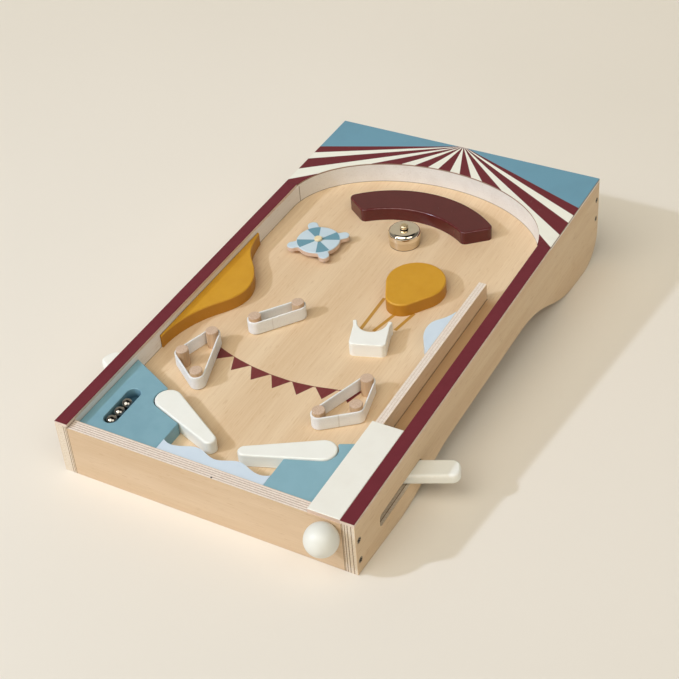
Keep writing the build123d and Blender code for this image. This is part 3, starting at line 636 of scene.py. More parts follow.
@dataclass(frozen=True)
class FieldPrint(Finish):
    """Playfield veneer with a printed string of flags, three ropes, painted shade at the divider's foot and
    a painted shadow over the lane.
    """

    grain: Grain
    flags: tuple[Flag, ...] = (
        ((-55.2, 135.0), (-72.4, 140.4), (-67.2, 126.3)),
        ((-37.2, 131.0), (-54.8, 134.8), (-48.6, 119.8)),
        ((-17.5, 128.4), (-36.5, 130.8), (-28.6, 116.4)),
        ((1.0, 127.8), (-17.1, 128.4), (-8.6, 114.6)),
        ((20.0, 129.9), (1.7, 127.8), (12.2, 115.7)),
        ((38.5, 134.0), (20.6, 130.1), (32.2, 119.3)),
        ((56.4, 139.6), (39.3, 134.1), (52.1, 123.6)),
    )
    ropes: tuple[Run, ...] = (
        ((19.2, 248.0), (20.1, 205.0)),
        ((37.1, 234.6), (30.5, 206.8)),
        ((50.3, 239.6), (45.7, 214.6)),
    )
    string_low: float = 127.6
    string_bend: float = 0.0029
    string_middle: float = -5.0
    string_ends: Spot = (-74.0, 58.0)
    string_half: float = 0.32
    rope_half: float = 1.45
    print_z: float = -19.3
    leaf: float = 76.0
    leaf_start: float = -31.0
    # Where the divider's foot runs: across, along and half its length; painted shade lies there.
    foot: Place = (95.75, 145.0, 135.0)
    leaf_joint: Colour = tint(238, 214, 180)
    flag_colour: Colour = tint(112, 30, 40)
    rope_colour: Colour = tint(186, 136, 50)
    # Painted shade at the divider's foot, and the painted shadow of the divider over the lane.
    divider_foot_shade: Colour = tint(92, 64, 40)
    lane_shadow_colour: Colour = tint(168, 127, 80)
    ink_waves: Place = (0.9, 0.1, 0.9)
    smear_waves: Place = (0.02, 0.012, 0.02)

    def triangle(self, surface: Surface, corners: Flag) -> Wire:
        """Give 1 inside one flag, whose corners run anticlockwise from above."""
        sides = [surface.beyond(corners[at - 1], corners[at]) for at in range(len(corners))]
        return reduce(Wire.least, sides).past(0.0, soft=0.1)

    def rope(self, surface: Surface, start: Spot, end: Spot) -> Wire:
        """Give 1 on one rope.

        Args:
            surface: The finish that takes it.
            start: The rope's end at the balloon.
            end: The rope's end at the basket.

        Returns:
            The rope's share.
        """
        run = Vector(end) - Vector(start)
        along = surface.beyond(Vector(start) + run.orthogonal(), start)
        reach = along.band(run.length / 2, run.length / 2, soft=0.2)
        return surface.beyond(start, end).band(0.0, self.rope_half, soft=0.12) * reach

    def make(self) -> Material:
        """Make the veneer and its prints.

        Returns:
            The material.
        """
        surface = Surface(self.name)
        wood, relief = self.grain.figure(surface)
        half = self.leaf / 2
        joint = abs((surface.x - self.leaf_start) % self.leaf - half).rise(half - 0.5, half)
        wood = surface.mix(wood, self.leaf_joint, joint * 0.35)
        top = surface.z.past(self.print_z, soft=0.1)
        bend = surface.x - self.string_middle
        string = surface.y - (bend * bend * self.string_bend + self.string_low)
        first, last = self.string_ends
        span = surface.x.band((first + last) / 2, (last - first) / 2, soft=0.2)
        flags = [self.triangle(surface, corners) for corners in self.flags]
        mark = reduce(Wire.most, flags, string.band(0.0, self.string_half, soft=0.12) * span)
        ropes = reduce(Wire.most, [self.rope(surface, *ends) for ends in self.ropes])
        ink = surface.noise(self.ink_waves)
        colour = surface.mix(wood, self.flag_colour, mark * top * (0.94 + ink * 0.06))
        colour = surface.mix(colour, self.rope_colour, ropes * top * 0.96)
        foot_x, foot_y, foot_half = self.foot
        # Painted shadow of the divider over the lane floor beside it.
        lane = surface.x.rise(foot_x, foot_x + 0.6) * surface.y.band(foot_y, foot_half, soft=8.0)
        colour = surface.mix(colour, self.lane_shadow_colour, lane * top * 0.75)
        # Painted shade in the crease at the divider's foot.
        gap = surface.x.band(foot_x, 0.4, soft=0.15) * surface.y.band(foot_y, foot_half, soft=1.0)
        colour = surface.mix(colour, self.divider_foot_shade, gap * top * 0.85)
        roughness = surface.satin(base=0.36, spread=0.14, waves=self.smear_waves, detail=3.0)
        return surface.shade(colour, roughness, relief, 0.03, {"Specular IOR Level": 0.35})


@dataclass(frozen=True)
class ElasticFinish(Finish):
    """Woven flat elastic: ribs along its length, a little grime and one sewn seam."""

    seam: Spot
    rib: float = 0.7
    light: Colour = tint(242, 243, 243)
    dark: Colour = tint(226, 225, 223)
    thread: Colour = tint(176, 166, 156)
    yarn_waves: Place = (1.5, 1.5, 0.6)
    grime_wave: float = 0.05

    def make(self) -> Material:
        """Make the finish.

        Returns:
            The material.
        """
        surface = Surface(self.name)
        wave = surface.math("SINE", surface.z * (2 * math.pi / self.rib)) * 0.5 + 0.5
        yarn = surface.noise(self.yarn_waves)
        grime = surface.noise(self.grime_wave).rise(*UPPER)
        share = wave * 0.25 + yarn.rise(*UPPER) * 0.35 + grime * 0.2
        off = abs(surface.x - self.seam[0]).most(abs(surface.y - self.seam[1]))
        stitch = 1 - off.rise(0.3, 0.6)
        colour = surface.mix(surface.mix(self.light, self.dark, share), self.thread, stitch * 0.3)
        return surface.shade(colour, 0.62 + yarn * 0.16, wave * 0.7 + yarn * 0.3 - stitch * 0.3, 0.06)


@dataclass(frozen=True)
class MetalFinish(Finish):
    """Bare or plated metal with handling smears and fine scratches, and painted shade below a given height
    where asked.
    """

    colour: Colour
    roughness: float
    smear: float = 0.08
    scratch_wave: float = 2.2
    scratch_pull: float = 0.05
    hand_wave: float = 0.12
    tarnish: Colour = tint(120, 112, 104)
    tarnish_share: float = 0.15
    dark_below: float | None = None
    in_shade: Colour = tint(44, 36, 30)

    def make(self) -> Material:
        """Make the finish.

        Returns:
            The material.
        """
        surface = Surface(self.name)
        hand = surface.noise(self.hand_wave, detail=3.0).rise(*UPPER)
        wave = self.scratch_wave
        scratch = surface.noise((wave, wave * self.scratch_pull, wave), detail=1.0)
        colour = surface.mix(self.colour, self.tarnish, hand * self.tarnish_share)
        # Painted shade below a given height, in a gap under a head or at a foot.
        if self.dark_below is not None:
            shade = 1 - surface.z.past(self.dark_below, soft=0.1)
            colour = surface.mix(colour, self.in_shade, shade)
        roughness = self.roughness + hand * self.smear + scratch.rise(0.6, 0.8) * self.smear * 0.5
        return surface.shade(colour, roughness, scratch, 0.004, {"Metallic": 1.0})


@dataclass(frozen=True)
class FloorFinish(Finish):
    """Plain matt floor in a pale warm tone."""

    light: Colour = tint(241, 234, 223)
    dark: Colour = tint(236, 229, 217)
    cloud_wave: float = 0.0012
    tooth_wave: float = 0.7

    def make(self) -> Material:
        """Make the finish.

        Returns:
            The material.
        """
        surface = Surface(self.name)
        cloud, tooth = surface.noise(self.cloud_wave), surface.noise(self.tooth_wave)
        colour = surface.mix(self.light, self.dark, cloud.rise(*MOST))
        return surface.shade(colour, 0.86 + tooth * 0.06, tooth, 0.02, {"Specular IOR Level": 0.1})


def meshed(shape: Shape, name: str) -> bpy.types.Mesh:
    """Turn a shape into a mesh.

    Args:
        shape: The shape, which is used up.
        name: The mesh's name.

    Returns:
        The mesh.
    """
    mesh = bpy.data.meshes.new(name)
    shape.to_mesh(mesh)
    shape.free()
    return mesh


def placed(name: str, data: bpy.types.ID) -> bpy.types.Object:
    """Put a mesh, a lamp or a camera into the scene.

    Args:
        name: The object's name.
        data: What it holds.

    Returns:
        The object, at the origin.
    """
    made = bpy.data.objects.new(name, data)
    bpy.context.scene.collection.objects.link(made)
    return made


def picked(made: list, kind: type) -> list:
    """Pick one kind of element from what a step of modelling made."""
    return [element for element in made if isinstance(element, kind)]


def extruded(shape: Shape, edges: list[Edge]) -> tuple[list[Vert], list[Edge]]:
    """Draw a new strip of faces out of a ring of edges.

    Args:
        shape: The mesh that holds the ring.
        edges: The ring.

    Returns:
        The new corners, still in the old place, and the new ring between them.
    """
    made = bmesh.ops.extrude_edge_only(shape, edges=edges)["geom"]
    verts = picked(made, Vert)
    return verts, [edge for edge in picked(made, Edge) if set(edge.verts) <= set(verts)]


def swept(shape: Shape, edges: list[Edge], centre: Place, axis: Place, **sweep: object) -> list[Edge]:
    """Sweep a section round an axis.

    Args:
        shape: The mesh that holds the section.
        edges: The section.
        centre: A point of the axis.
        axis: The axis's direction.
        sweep: The angle, the steps, and a climb or a merge where there is one.

    Returns:
        The section's edges at the end of the sweep.
    """
    ends = list(dict.fromkeys(vert for edge in edges for vert in edge.verts))
    made = bmesh.ops.spin(shape, geom=edges + ends, cent=centre, axis=axis, **sweep)
    return picked(made["geom_last"], Edge)


class SubAssembly:
    """What the parts of the game have in common: dressing solids and setting down new pieces."""

    def dress(self, finish: Finish, *nodes: str) -> None:
        """Give solids a finish.

        Args:
            finish: The finish.
            nodes: Names of the solids.
        """
        material = finish.make()
        for name in nodes:
            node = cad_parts[name]
            node.data.materials.clear()
            node.data.materials.append(material)
            log.info("dressed %s in %s", name, finish.name)

    def set_down(self, shape: Shape, name: str, finish: Finish, slot: str, *nodes: str) -> bpy.types.Object:
        """Turn a shape in case millimetres into a piece in the row frame.

        Args:
            shape: The finished shape, which is used up.
            name: The piece's name.
            finish: The piece's finish.
            slot: Not used.
            nodes: Solids that the piece stands for.

        Returns:
            The piece, at the origin, riding on nothing yet.
        """
        bmesh.ops.remove_doubles(shape, verts=shape.verts[:], dist=WELD)
        bmesh.ops.recalc_face_normals(shape, faces=shape.faces[:])
        shape.transform(CASE.matrix())
        mesh = meshed(shape, name)
        mesh.shade_smooth()
        mesh.set_sharp_from_angle(angle=SHARP_FROM)
        mesh.materials.append(finish.make())
        piece = placed(name, mesh)
        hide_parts(*nodes)
        log.info("made %s, %d faces, for %s", name, len(mesh.polygons), ", ".join(nodes))
        return piece


@dataclass
class BandLoop:
    """A flat elastic pulled round upright posts."""

    posts: tuple[Spot, ...]
    post_radius: float
    gap: float
    thickness: float
    low_z: float
    height: float
    corner: float = 0.42
    corner_steps: int = 3
    waist: float = 0.1
    waist_cuts: int = 3
    arc_steps: int = 14
    run_steps: int = 8

    def section(self, shape: Shape) -> list[Edge]:
        """Lay the band's rounded cross-section in the x and z plane at the origin.

        Args:
            shape: The mesh that takes it.

        Returns:
            The section's edges.
        """
        bmesh.ops.create_grid(shape, x_segments=1, y_segments=1, size=0.5)
        shape.transform(Matrix.Diagonal((self.thickness, self.height, 1.0, 1.0)))
        rounding = {"offset": self.corner, "segments": self.corner_steps, "profile": 0.5}
        bmesh.ops.bevel(shape, geom=shape.verts[:], affect="VERTICES", material=-1, **rounding)
        bmesh.ops.delete(shape, geom=shape.faces[:], context="FACES_ONLY")
        tall = [edge for edge in shape.edges if edge.calc_length() > self.height / 2]
        made = bmesh.ops.subdivide_edges(shape, edges=tall, cuts=self.waist_cuts)["geom_inner"]
        for vert in picked(made, Vert):
            draw_in = self.waist * self.thickness * (1 - abs(vert.co.y) * 2 / self.height)
            vert.co.x -= math.copysign(draw_in, vert.co.x)
        shape.transform(Matrix.Rotation(math.pi / 2, 4, "X"))
        return shape.edges[:]

    def build(self) -> Shape:
        """Sweep the section round the posts.

        Returns:
            The closed loop in case millimetres.
        """
        shape = bmesh.new()
        edges = self.section(shape)
        places = [Vector(post) for post in self.posts]
        runs = [after - before for before, after in zip(places, places[1:] + places[:1])]
        middle = self.post_radius + self.gap + self.thickness / 2
        lift = self.low_z + self.height / 2
        outward = Vector((runs[0].y, -runs[0].x)).normalized()
        start = places[0] + outward * middle
        turn = Matrix.Rotation(math.atan2(outward.y, outward.x), 4, "Z")
        shape.transform(Matrix.Translation((start.x, start.y, lift)) @ turn)
        for index, run in enumerate(runs):
            for _ in range(self.run_steps):
                verts, edges = extruded(shape, edges)
                bmesh.ops.translate(shape, vec=run.to_3d() / self.run_steps, verts=verts)
            following = (index + 1) % len(runs)
            after, post = runs[following], places[following]
            bend = math.atan2(run.x * after.y - run.y * after.x, run.dot(after)) % (2 * math.pi)
            round_post = ((post.x, post.y, lift), (0, 0, 1))
            edges = swept(shape, edges, *round_post, angle=bend, steps=self.arc_steps)
        return shape


@dataclass
class CaseBox(SubAssembly):
    """Plywood case: panels, battens, wall liners, lane divider and the screws in the sides."""

    half_width: float = 125.0
    panel: float = 10.0
    length: float = 450.0
    plies: tuple[float, ...] = (2.0, 4.0, 6.0, 8.0)
    left_plies: tuple[float, ...] = (7.3, 9.0)
    right_plies: tuple[float, ...] = (0.5, 2.2, 4.4, 7.1)
    divider_plies: tuple[float, ...] = (2.3, 4.7)
    divider_start: float = 88.5
    divider_width: float = 7.0
    pin_mark: Place = (10.5, 1.4, -4.2)
    field_z: float = -19.0
    screw_places: tuple[Spot, ...] = ((5.0, -19.5), (5.0, -39.0), (445.0, -19.5), (445.0, -39.0))
    screw_turn: float = 0.7
    screw_head: float = 2.6
    screw_edge: float = 0.15
    screw_head_depth: float = 1.5
    screw_shank: float = 1.5
    screw_length: float = 26.0
    cross_arm: float = 1.5
    cross_slope: float = 0.18
    cross_depth: float = 0.75

    def build(self) -> None:
        """Dress the case and make its screws."""
        inner, behind = self.half_width - self.panel, self.length - self.panel
        edges = {"edge_light": tint(232, 219, 200), "edge_dark": tint(214, 196, 172)}
        glue = {"glue": tint(126, 88, 58), "glue_half": 0.5}
        sides = (("left", -self.half_width, self.left_plies), ("right", inner, self.right_plies))
        for name, start, plies in sides:
            side = PlywoodFinish(
                f"{name}_panel_ply", BEECH, Axis.ACROSS, start, self.panel, plies, **edges, **glue
            )
            self.dress(side, f"{name}_side_panel")
        lying = (BEECH_ACROSS, Axis.ALONG)
        marks = {"gap_at": inner, "pin_mark": self.pin_mark}
        front = PlywoodFinish("front_panel_ply", *lying, 0.0, self.panel, self.plies, **marks)
        self.dress(front, "front_panel")
        self.dress(PlywoodFinish("back_panel_ply", *lying, behind, self.panel, self.plies), "back_panel")
        lane = (self.divider_start, self.divider_width, self.divider_plies)
        divider = PlywoodFinish("divider_ply", BEECH, Axis.ACROSS, *lane, glue=tint(206, 187, 168))
        self.dress(divider, "lane_divider")
        liner = WoodFinish("liner_veneer", PALE_WOOD, foot_z=self.field_z)
        self.dress(liner, "left_wall_liner", "right_wall_liner", "arch_wall")
        batten = WoodFinish("batten_wood", BEECH, roughness=0.6)
        self.dress(batten, "left_batten", "right_batten", "front_batten")
        rust = {"tarnish": tint(62, 52, 44), "tarnish_share": 0.6}
        steel = MetalFinish("screw_steel", tint(112, 104, 96), 0.4, smear=0.14, **rust)
        screws = self.set_down(self.screws(), "cross_head_screws", steel, "plain_steel", "case_screws")
        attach(screws, "case")

    def screws(self) -> Shape:
        """Make every screw of the case.

        Returns:
            The screws in case millimetres.
        """
        shape = bmesh.new()
        for side, (y, z) in product(Side, self.screw_places):
            one = self.screw()
            facing = Matrix.Rotation(side.value * math.pi / 2, 4, "Y")
            turn = facing @ Matrix.Rotation(y * self.screw_turn + z, 4, "Z")
            one.transform(Matrix.Translation((side.value * self.half_width, y, z)) @ turn)
            mesh = meshed(one, "one_screw")
            shape.from_mesh(mesh)
            bpy.data.meshes.remove(mesh)
        return shape

    def screw(self) -> Shape:
        """Make one countersunk screw that points down from the origin, with a cross in its head.

        Returns:
            The screw.
        """
        shape = bmesh.new()
        made = bmesh.ops.create_grid(shape, x_segments=3, y_segments=3, size=self.cross_arm)["verts"]
        faces = list(dict.fromkeys(face for vert in made for face in vert.link_faces))
        quarter = self.cross_arm / 4
        cross = [f for f in faces if min(abs(share) for share in f.calc_center_median().xy) < quarter]
        sunk = {"thickness": self.cross_slope, "depth": -self.cross_depth, "use_even_offset": True}
        bmesh.ops.inset_region(shape, faces=cross, **sunk)
        rim = [e for vert in made if vert.is_valid for e in vert.link_edges if e.is_boundary]
        bmesh.ops.subdivide_edges(shape, edges=list(dict.fromkeys(rim)), cuts=1)
        rim = [e for face in faces if face.is_valid for e in face.edges if e.is_boundary]
        edges = list(dict.fromkeys(rim))
        for reach, depth in (
            (self.screw_head - self.screw_edge, 0.0),
            (self.screw_head, -self.screw_edge),
            (self.screw_shank, -self.screw_head_depth),
            (self.screw_shank, -self.screw_length),
        ):
            verts, edges = extruded(shape, edges)
            for vert in verts:
                flat = vert.co.xy.normalized() * reach
                vert.co = (flat.x, flat.y, depth)
        bmesh.ops.holes_fill(shape, edges=edges)
        return shape


@dataclass
class TopDeck(SubAssembly):
    """Printed top board, the rail caps in line with it and the white cover over the plunger."""

    cover_top: float = 0.0
    cover_print: float = -0.6
    rail_print: float = -0.4

    def build(self) -> None:
        """Dress the printed boards and the cover."""
        self.dress(RayPrint("ray_print"), "top_board")
        wine = (tint(113, 40, 51), tint(104, 35, 45), tint(150, 88, 92))
        matt = {"roughness": 0.46, "coat": 0.0, "gleam": 0.25}
        cut = {"bare": tint(232, 216, 202), "bare_below": self.rail_print}
        rail = PaintFinish("rail_print", *wine, self.cover_top, **matt, **cut)
        self.dress(rail, "left_rail_cap", "right_rail_cap")
        white = (tint(242, 240, 231), tint(236, 232, 222), tint(222, 210, 194))
        cut = {"bare": tint(222, 198, 180), "bare_below": self.cover_print}
        self.dress(PaintFinish("cover_white", *white, self.cover_top, mottle=0.4, **cut), "plunger_cover")


@dataclass
class Playfield(SubAssembly):
    """The sloping board and the painted blocks on it."""

    block_top: float = -8.0
    bumper_top: float = -7.0
    bump_top: float = -7.0
    left_wall: float = -114.0

    def build(self) -> None:
        """Dress the board and its blocks."""
        veneer = Grain(tint(233, 208, 174), tint(219, 188, 150), tint(206, 170, 130), streak_wave=0.04)
        self.dress(FieldPrint("field_veneer", veneer), "playfield_board")
        blue, deep, blue_wear_and_highlight = tint(129, 171, 185), tint(115, 157, 173), tint(158, 190, 200)
        # The tray's paint has painted shade down in the ball slot and along the left wall.
        tray = TrayPaint("tray_blue", blue, deep, blue_wear_and_highlight, self.block_top, wall_x=self.left_wall)
        self.dress(tray, "ball_tray_block")
        # The corner block's blue is a lighter copy of the tray's blue: painted light on that block.
        corner = PaintFinish("corner_blue_lit", tint(137, 179, 193), blue, blue_wear_and_highlight, self.block_top)
        self.dress(corner, "right_corner_block")
        sky = (tint(212, 226, 239), tint(203, 218, 233), tint(226, 234, 240))
        self.dress(PaintFinish("wave_sky_paint", *sky, self.block_top), "drain_wave")
        self.dress(PaintFinish("bump_sky_paint", *sky, self.bump_top), "lane_bump")
        ochre = (tint(210, 154, 34), tint(200, 142, 24), tint(226, 178, 76), self.bumper_top)
        # Painted shade on the ochre blocks' sides and in the gap along the left wall.
        sides = {"side": tint(184, 124, 20), "wall_x": self.left_wall}
        satin = PaintFinish("ochre_paint", *ochre, arris=1.2, roughness=0.4, coat=0.05, **sides)
        self.dress(satin, "ramp_block", "balloon_block")
        wine = (tint(88, 22, 24), tint(80, 18, 20), tint(160, 104, 104), self.bumper_top)
        glossy = {"arris": 0.8, "roughness": 0.14, "coat": 0.1, "relief_depth": 0.01, "highlight_and_nicks": 0.35}
        self.dress(PaintFinish("wine_gloss", *wine, **glossy), "arch_bumper")
        white = (tint(246, 246, 240), tint(240, 238, 230), tint(228, 220, 206), self.bumper_top)
        self.dress(PaintFinish("basket_white", *white, mottle=0.4), "basket_block")


@dataclass
class PegGroups(SubAssembly):
    """Dowel pegs and the elastic bands stretched round them."""

    peg_radius: float = 5.0
    gap: float = 0.1
    thickness: float = 1.3
    low_z: float = -18.4
    height: float = 11.5
    top_z: float = -3.6
    groups: tuple[tuple[str, Spot, tuple[Spot, ...]], ...] = (
        ("left_triangle", (-63.6, 119.4), ((-62.5, 94.82), (-77.0, 140.55), (-86.0, 111.5))),
        ("right_triangle", (59.5, 97.4), ((45.0, 94.01), (67.0, 111.23), (60.75, 140.01))),
        ("pair", (-43.3, 176.0), ((-55.5, 170.14), (-32.75, 199.19))),
    )

    def build(self) -> None:
        """Dress the pegs and make the bands, each from its group's name, its seam and its posts."""
        self.dress(DowelFinish("peg_dowel", self.top_z), *[f"{name}_pegs" for name, *_ in self.groups])
        for name, seam, posts in self.groups:
            band = BandLoop(posts, self.peg_radius, self.gap, self.thickness, self.low_z, self.height)
            finish = ElasticFinish(f"{name}_elastic", seam)
            piece = self.set_down(band.build(), f"{name}_stretched_band", finish, "elastic", f"{name}_band")
            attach(piece, "case")


@dataclass
class Flipper(SubAssembly):
    """One flipper: white blade and lever on a shaft, with the elastic that pulls it back."""

    side: Side
    pin: Spot = (91.74, 73.92)
    anchor: Spot = (96.4, 102.0)
    pin_radius: float = 1.5
    gap: float = 0.3
    thickness: float = 1.2
    corner: float = 0.4
    run_steps: int = 16
    low_z: float = -40.0
    height: float = 4.0
    rib: float = 0.8
    seam_off: Spot = (3.0, 14.0)
    blade_top: float = -7.4
    blade_arris: float = 1.6
    lever_top: float = -26.0
    lever_arris: float = 2.4
    hold: float = 3.5

    def build(self) -> None:
        """Dress the flipper and make its elastic."""
        name = self.side.name.lower()
        white = (tint(244, 244, 237), tint(238, 237, 228), tint(228, 219, 205))
        edges = {"blade": (self.blade_top, self.blade_arris), "lever": (self.lever_top, self.lever_arris)}
        for piece, edge in edges.items():
            paint = PaintFinish(f"{name}_{piece}_white", *white, *edge, roughness=0.3, coat=0.2, mottle=0.4)
            self.dress(paint, f"{name}_flipper_{piece}")
        self.dress(WoodFinish(f"{name}_shaft_wood", BEECH), f"{name}_flipper_shaft")
        steel = MetalFinish(f"{name}_flipper_steel", tint(178, 174, 168), 0.3, smear=0.12, tarnish_share=0.3)
        self.dress(steel, f"{name}_flipper_washer", f"{name}_flipper_screw", f"{name}_elastic_pin")
        self.elastic(name)

    def elastic(self, name: str) -> None:
        """Make the elastic between the pin under the playfield and the pin on the lever.

        Args:
            name: The side's name.
        """
        sign = self.side.value
        held, pulled = (sign * self.anchor[0], self.anchor[1]), (sign * self.pin[0], self.pin[1])
        band = (self.pin_radius, self.gap, self.thickness, self.low_z, self.height)
        loop = BandLoop((held, pulled), *band, corner=self.corner, run_steps=self.run_steps)
        seam = (held[0] - sign * self.seam_off[0], held[1] - self.seam_off[1])
        weave, stands_for = ElasticFinish(f"{name}_return_weave", seam, self.rib), f"{name}_return_elastic"
        piece = self.set_down(loop.build(), f"{name}_return_loop", weave, "elastic", stands_for)
        run = (Vector(pulled) - Vector(held)).normalized() * self.hold
        z = self.low_z + self.height / 2
        start = CASE.point(held[0] + run.x, held[1] + run.y, z)
        end = CASE.point(pulled[0] - run.x, pulled[1] - run.y, z)
        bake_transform(piece)


@dataclass
class Plunger(SubAssembly):
    """Knob, rod, head and the wound spring between the front panel and the head."""

    x: float = 104.75
    z: float = -13.0
    spring_start: float = 10.05
    spring_end: float = 71.95
    coil_radius: float = 4.7
    wire_radius: float = 0.5
    wire_sides: int = 12
    turns: int = 14
    dead_turns: float = 1.0
    dead_pitch: float = 1.04
    steps_per_turn: int = 28
    stroke: float = 38.0
    knob_top: float = -0.5

    def build(self) -> None:
        """Dress the plunger and wind its spring."""
        white = (tint(230, 229, 220), tint(223, 221, 210), tint(216, 206, 190), self.knob_top)
        smooth = {"coat": 0.1, "relief_depth": 0.005, "mottle": 0.4, "highlight_and_nicks": 0.0}
        self.dress(PaintFinish("knob_white", *white, **smooth), "plunger_knob")
        self.dress(WoodFinish("rod_wood", BEECH), "plunger_rod", "plunger_head")
        wire = MetalFinish("spring_wire", tint(188, 184, 178), 0.26, smear=0.12, tarnish_share=0.25)
        spring = self.set_down(self.spring(), "wound_spring", wire, "plain_steel", "plunger_spring")
        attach(spring, "case")
        CASE.heading(0, 1, 0)
        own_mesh(spring)

    def spring(self) -> Shape:
        """Wind the wire: a closed turn, the open turns and another closed turn.

        Returns:
            The spring in case millimetres.
        """
        shape = bmesh.new()
        bmesh.ops.create_circle(shape, cap_ends=True, segments=self.wire_sides, radius=self.wire_radius)
        start = (self.x + self.coil_radius, self.spring_start + self.wire_radius, self.z)
        shape.transform(Matrix.Translation(start))
        edges = shape.edges[:]
        wire = 2 * self.wire_radius
        closed = (self.dead_turns, wire * self.dead_pitch)
        room = self.spring_end - self.spring_start - wire - 2 * closed[0] * closed[1]
        for count, pitch in (closed, (self.turns, room / self.turns), closed):
            steps = round(count * self.steps_per_turn)
            climb = (0, pitch / self.steps_per_turn, 0)
            round_rod = ((self.x, 0.0, self.z), (0, -1, 0))
            edges = swept(shape, edges, *round_rod, angle=2 * math.pi * count, steps=steps, dvec=climb)
        bmesh.ops.holes_fill(shape, edges=edges)
        log.info("wound %d turns", self.turns)
        return shape


@dataclass
class Spinner(SubAssembly):
    """Four-armed spinner on a wooden pin."""

    top_z: float = -11.0
    print_z: float = -11.75
    pin_top: float = -8.7
    pin_end: float = 2.6

    def build(self) -> None:
        """Dress the rotor, its pin and its washer."""
        pale = (tint(203, 220, 230), tint(190, 209, 222), tint(220, 230, 235), self.top_z)
        cut = {"bare": tint(224, 198, 180), "bare_below": self.print_z}
        self.dress(SpinnerPaint("spinner_paint", *pale, arris=0.8, roughness=0.4, **cut), "spinner_rotor")
        cream = {"end_light": tint(246, 228, 186), "end_dark": tint(230, 206, 160)}
        self.dress(DowelFinish("pin_dowel", self.pin_top, self.pin_end, **cream), "spinner_pin")
        self.dress(MetalFinish("washer_steel", tint(180, 176, 170), 0.32), "spinner_washer")


@dataclass
class Bell(SubAssembly):
    """Plated bell, with its cup, gong and pin, and the steel pins that hold the return elastics."""

    head_foot: float = -3.6
    middle: Place = (0.0, 323.0, -19.0)
    foot_gap: float = 0.6
    radius: float = 13.9
    wall: float = 0.6
    rim: float = 7.8
    shoulder: float = 9.9
    top: float = 14.4
    flat_radius: float = 10.2
    bore: float = 2.1
    round_steps: int = 8
    turn_steps: int = 72

    def build(self) -> None:
        """Dress the bell and spin its gong."""
        bright = {"roughness": 0.04, "smear": 0.06, "scratch_wave": 1.1, "tarnish_share": 0.08}
        foot = self.middle[2] + self.foot_gap
        # The cup's plating is a darker copy of the gong's, as painted shade where its side reflects the
        # shaded field, with painted shade below its foot gap.
        self.dress(MetalFinish("cup_plating_shaded", tint(222, 209, 188), **bright, dark_below=foot), "bell_cup")
        plating = MetalFinish("bell_plating", tint(240, 230, 212), **bright)
        gong = self.set_down(self.gong(), "spun_gong", plating, "bright_metal", "bell_gong")
        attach(gong, "case")
        # The pin has painted shade in the gap under its head.
        wear_and_painted_light = {"smear": 0.1, "tarnish_share": 0.08, "dark_below": self.head_foot}
        self.dress(MetalFinish("bell_brass", tint(238, 218, 180), 0.34, **wear_and_painted_light), "bell_pin")
        anchor = MetalFinish("anchor_steel", tint(178, 174, 168), 0.3, smear=0.12)
        self.dress(anchor, "elastic_anchor_pins")

    def profile(self, inset: float) -> list[Spot]:
        """Draw one face of the gong's wall.

        Args:
            inset: How far inside the outer face.

        Returns:
            Distances from the pin and heights, from the bore over the round shoulder down to the rim.
        """
        side, top = self.radius - inset, self.top - inset
        reach, drop = side - self.flat_radius, top - self.shoulder
        turns = [math.pi / 2 * step / self.round_steps for step in range(self.round_steps + 1)]
        across = [self.flat_radius + reach * math.sin(turn) for turn in turns]
        up = [self.shoulder + drop * math.cos(turn) for turn in turns]
        return [(self.bore, top), *zip(across, up), (side, self.rim)]

    def gong(self) -> Shape:
        """Spin the gong: flat on top, round at the shoulder and open below.

        Returns:
            The gong in case millimetres.
        """
        shape = bmesh.new()
        outline = self.profile(0.0) + self.profile(self.wall)[::-1]
        ring = [shape.verts.new((out, 0.0, up)) for out, up in outline]
        edges = [shape.edges.new((ring[index - 1], ring[index])) for index in range(len(ring))]
        full = {"angle": 2 * math.pi, "steps": self.turn_steps, "use_merge": True}
        swept(shape, edges, (0, 0, 0), (0, 0, 1), **full)
        shape.transform(Matrix.Translation(self.middle))
        return shape


@dataclass
class Balls(SubAssembly):
    """Loose steel balls in their tray."""

    count: int = 3

    def build(self) -> None:
        """Dress the balls."""
        polish = {"smear": 0.05, "scratch_wave": 0.8, "tarnish_share": 0.12}
        steel = MetalFinish("ball_steel", tint(158, 154, 150), 0.03, **polish)
        self.dress(steel, *[f"ball_{number}" for number in range(1, self.count + 1)])


@dataclass(frozen=True)
class SoftBox:
    """A bright patch of the studio's surround, by its turn to the right of the front and its rise."""

    turn: float
    rise: float
    cone: Spot
    level: float

    def heading(self) -> Vector:
        """Give the direction towards the middle of the patch."""
        turn, rise = math.radians(self.turn), math.radians(self.rise)
        return Vector((math.sin(turn) * math.cos(rise), -math.cos(turn) * math.cos(rise), math.sin(rise)))


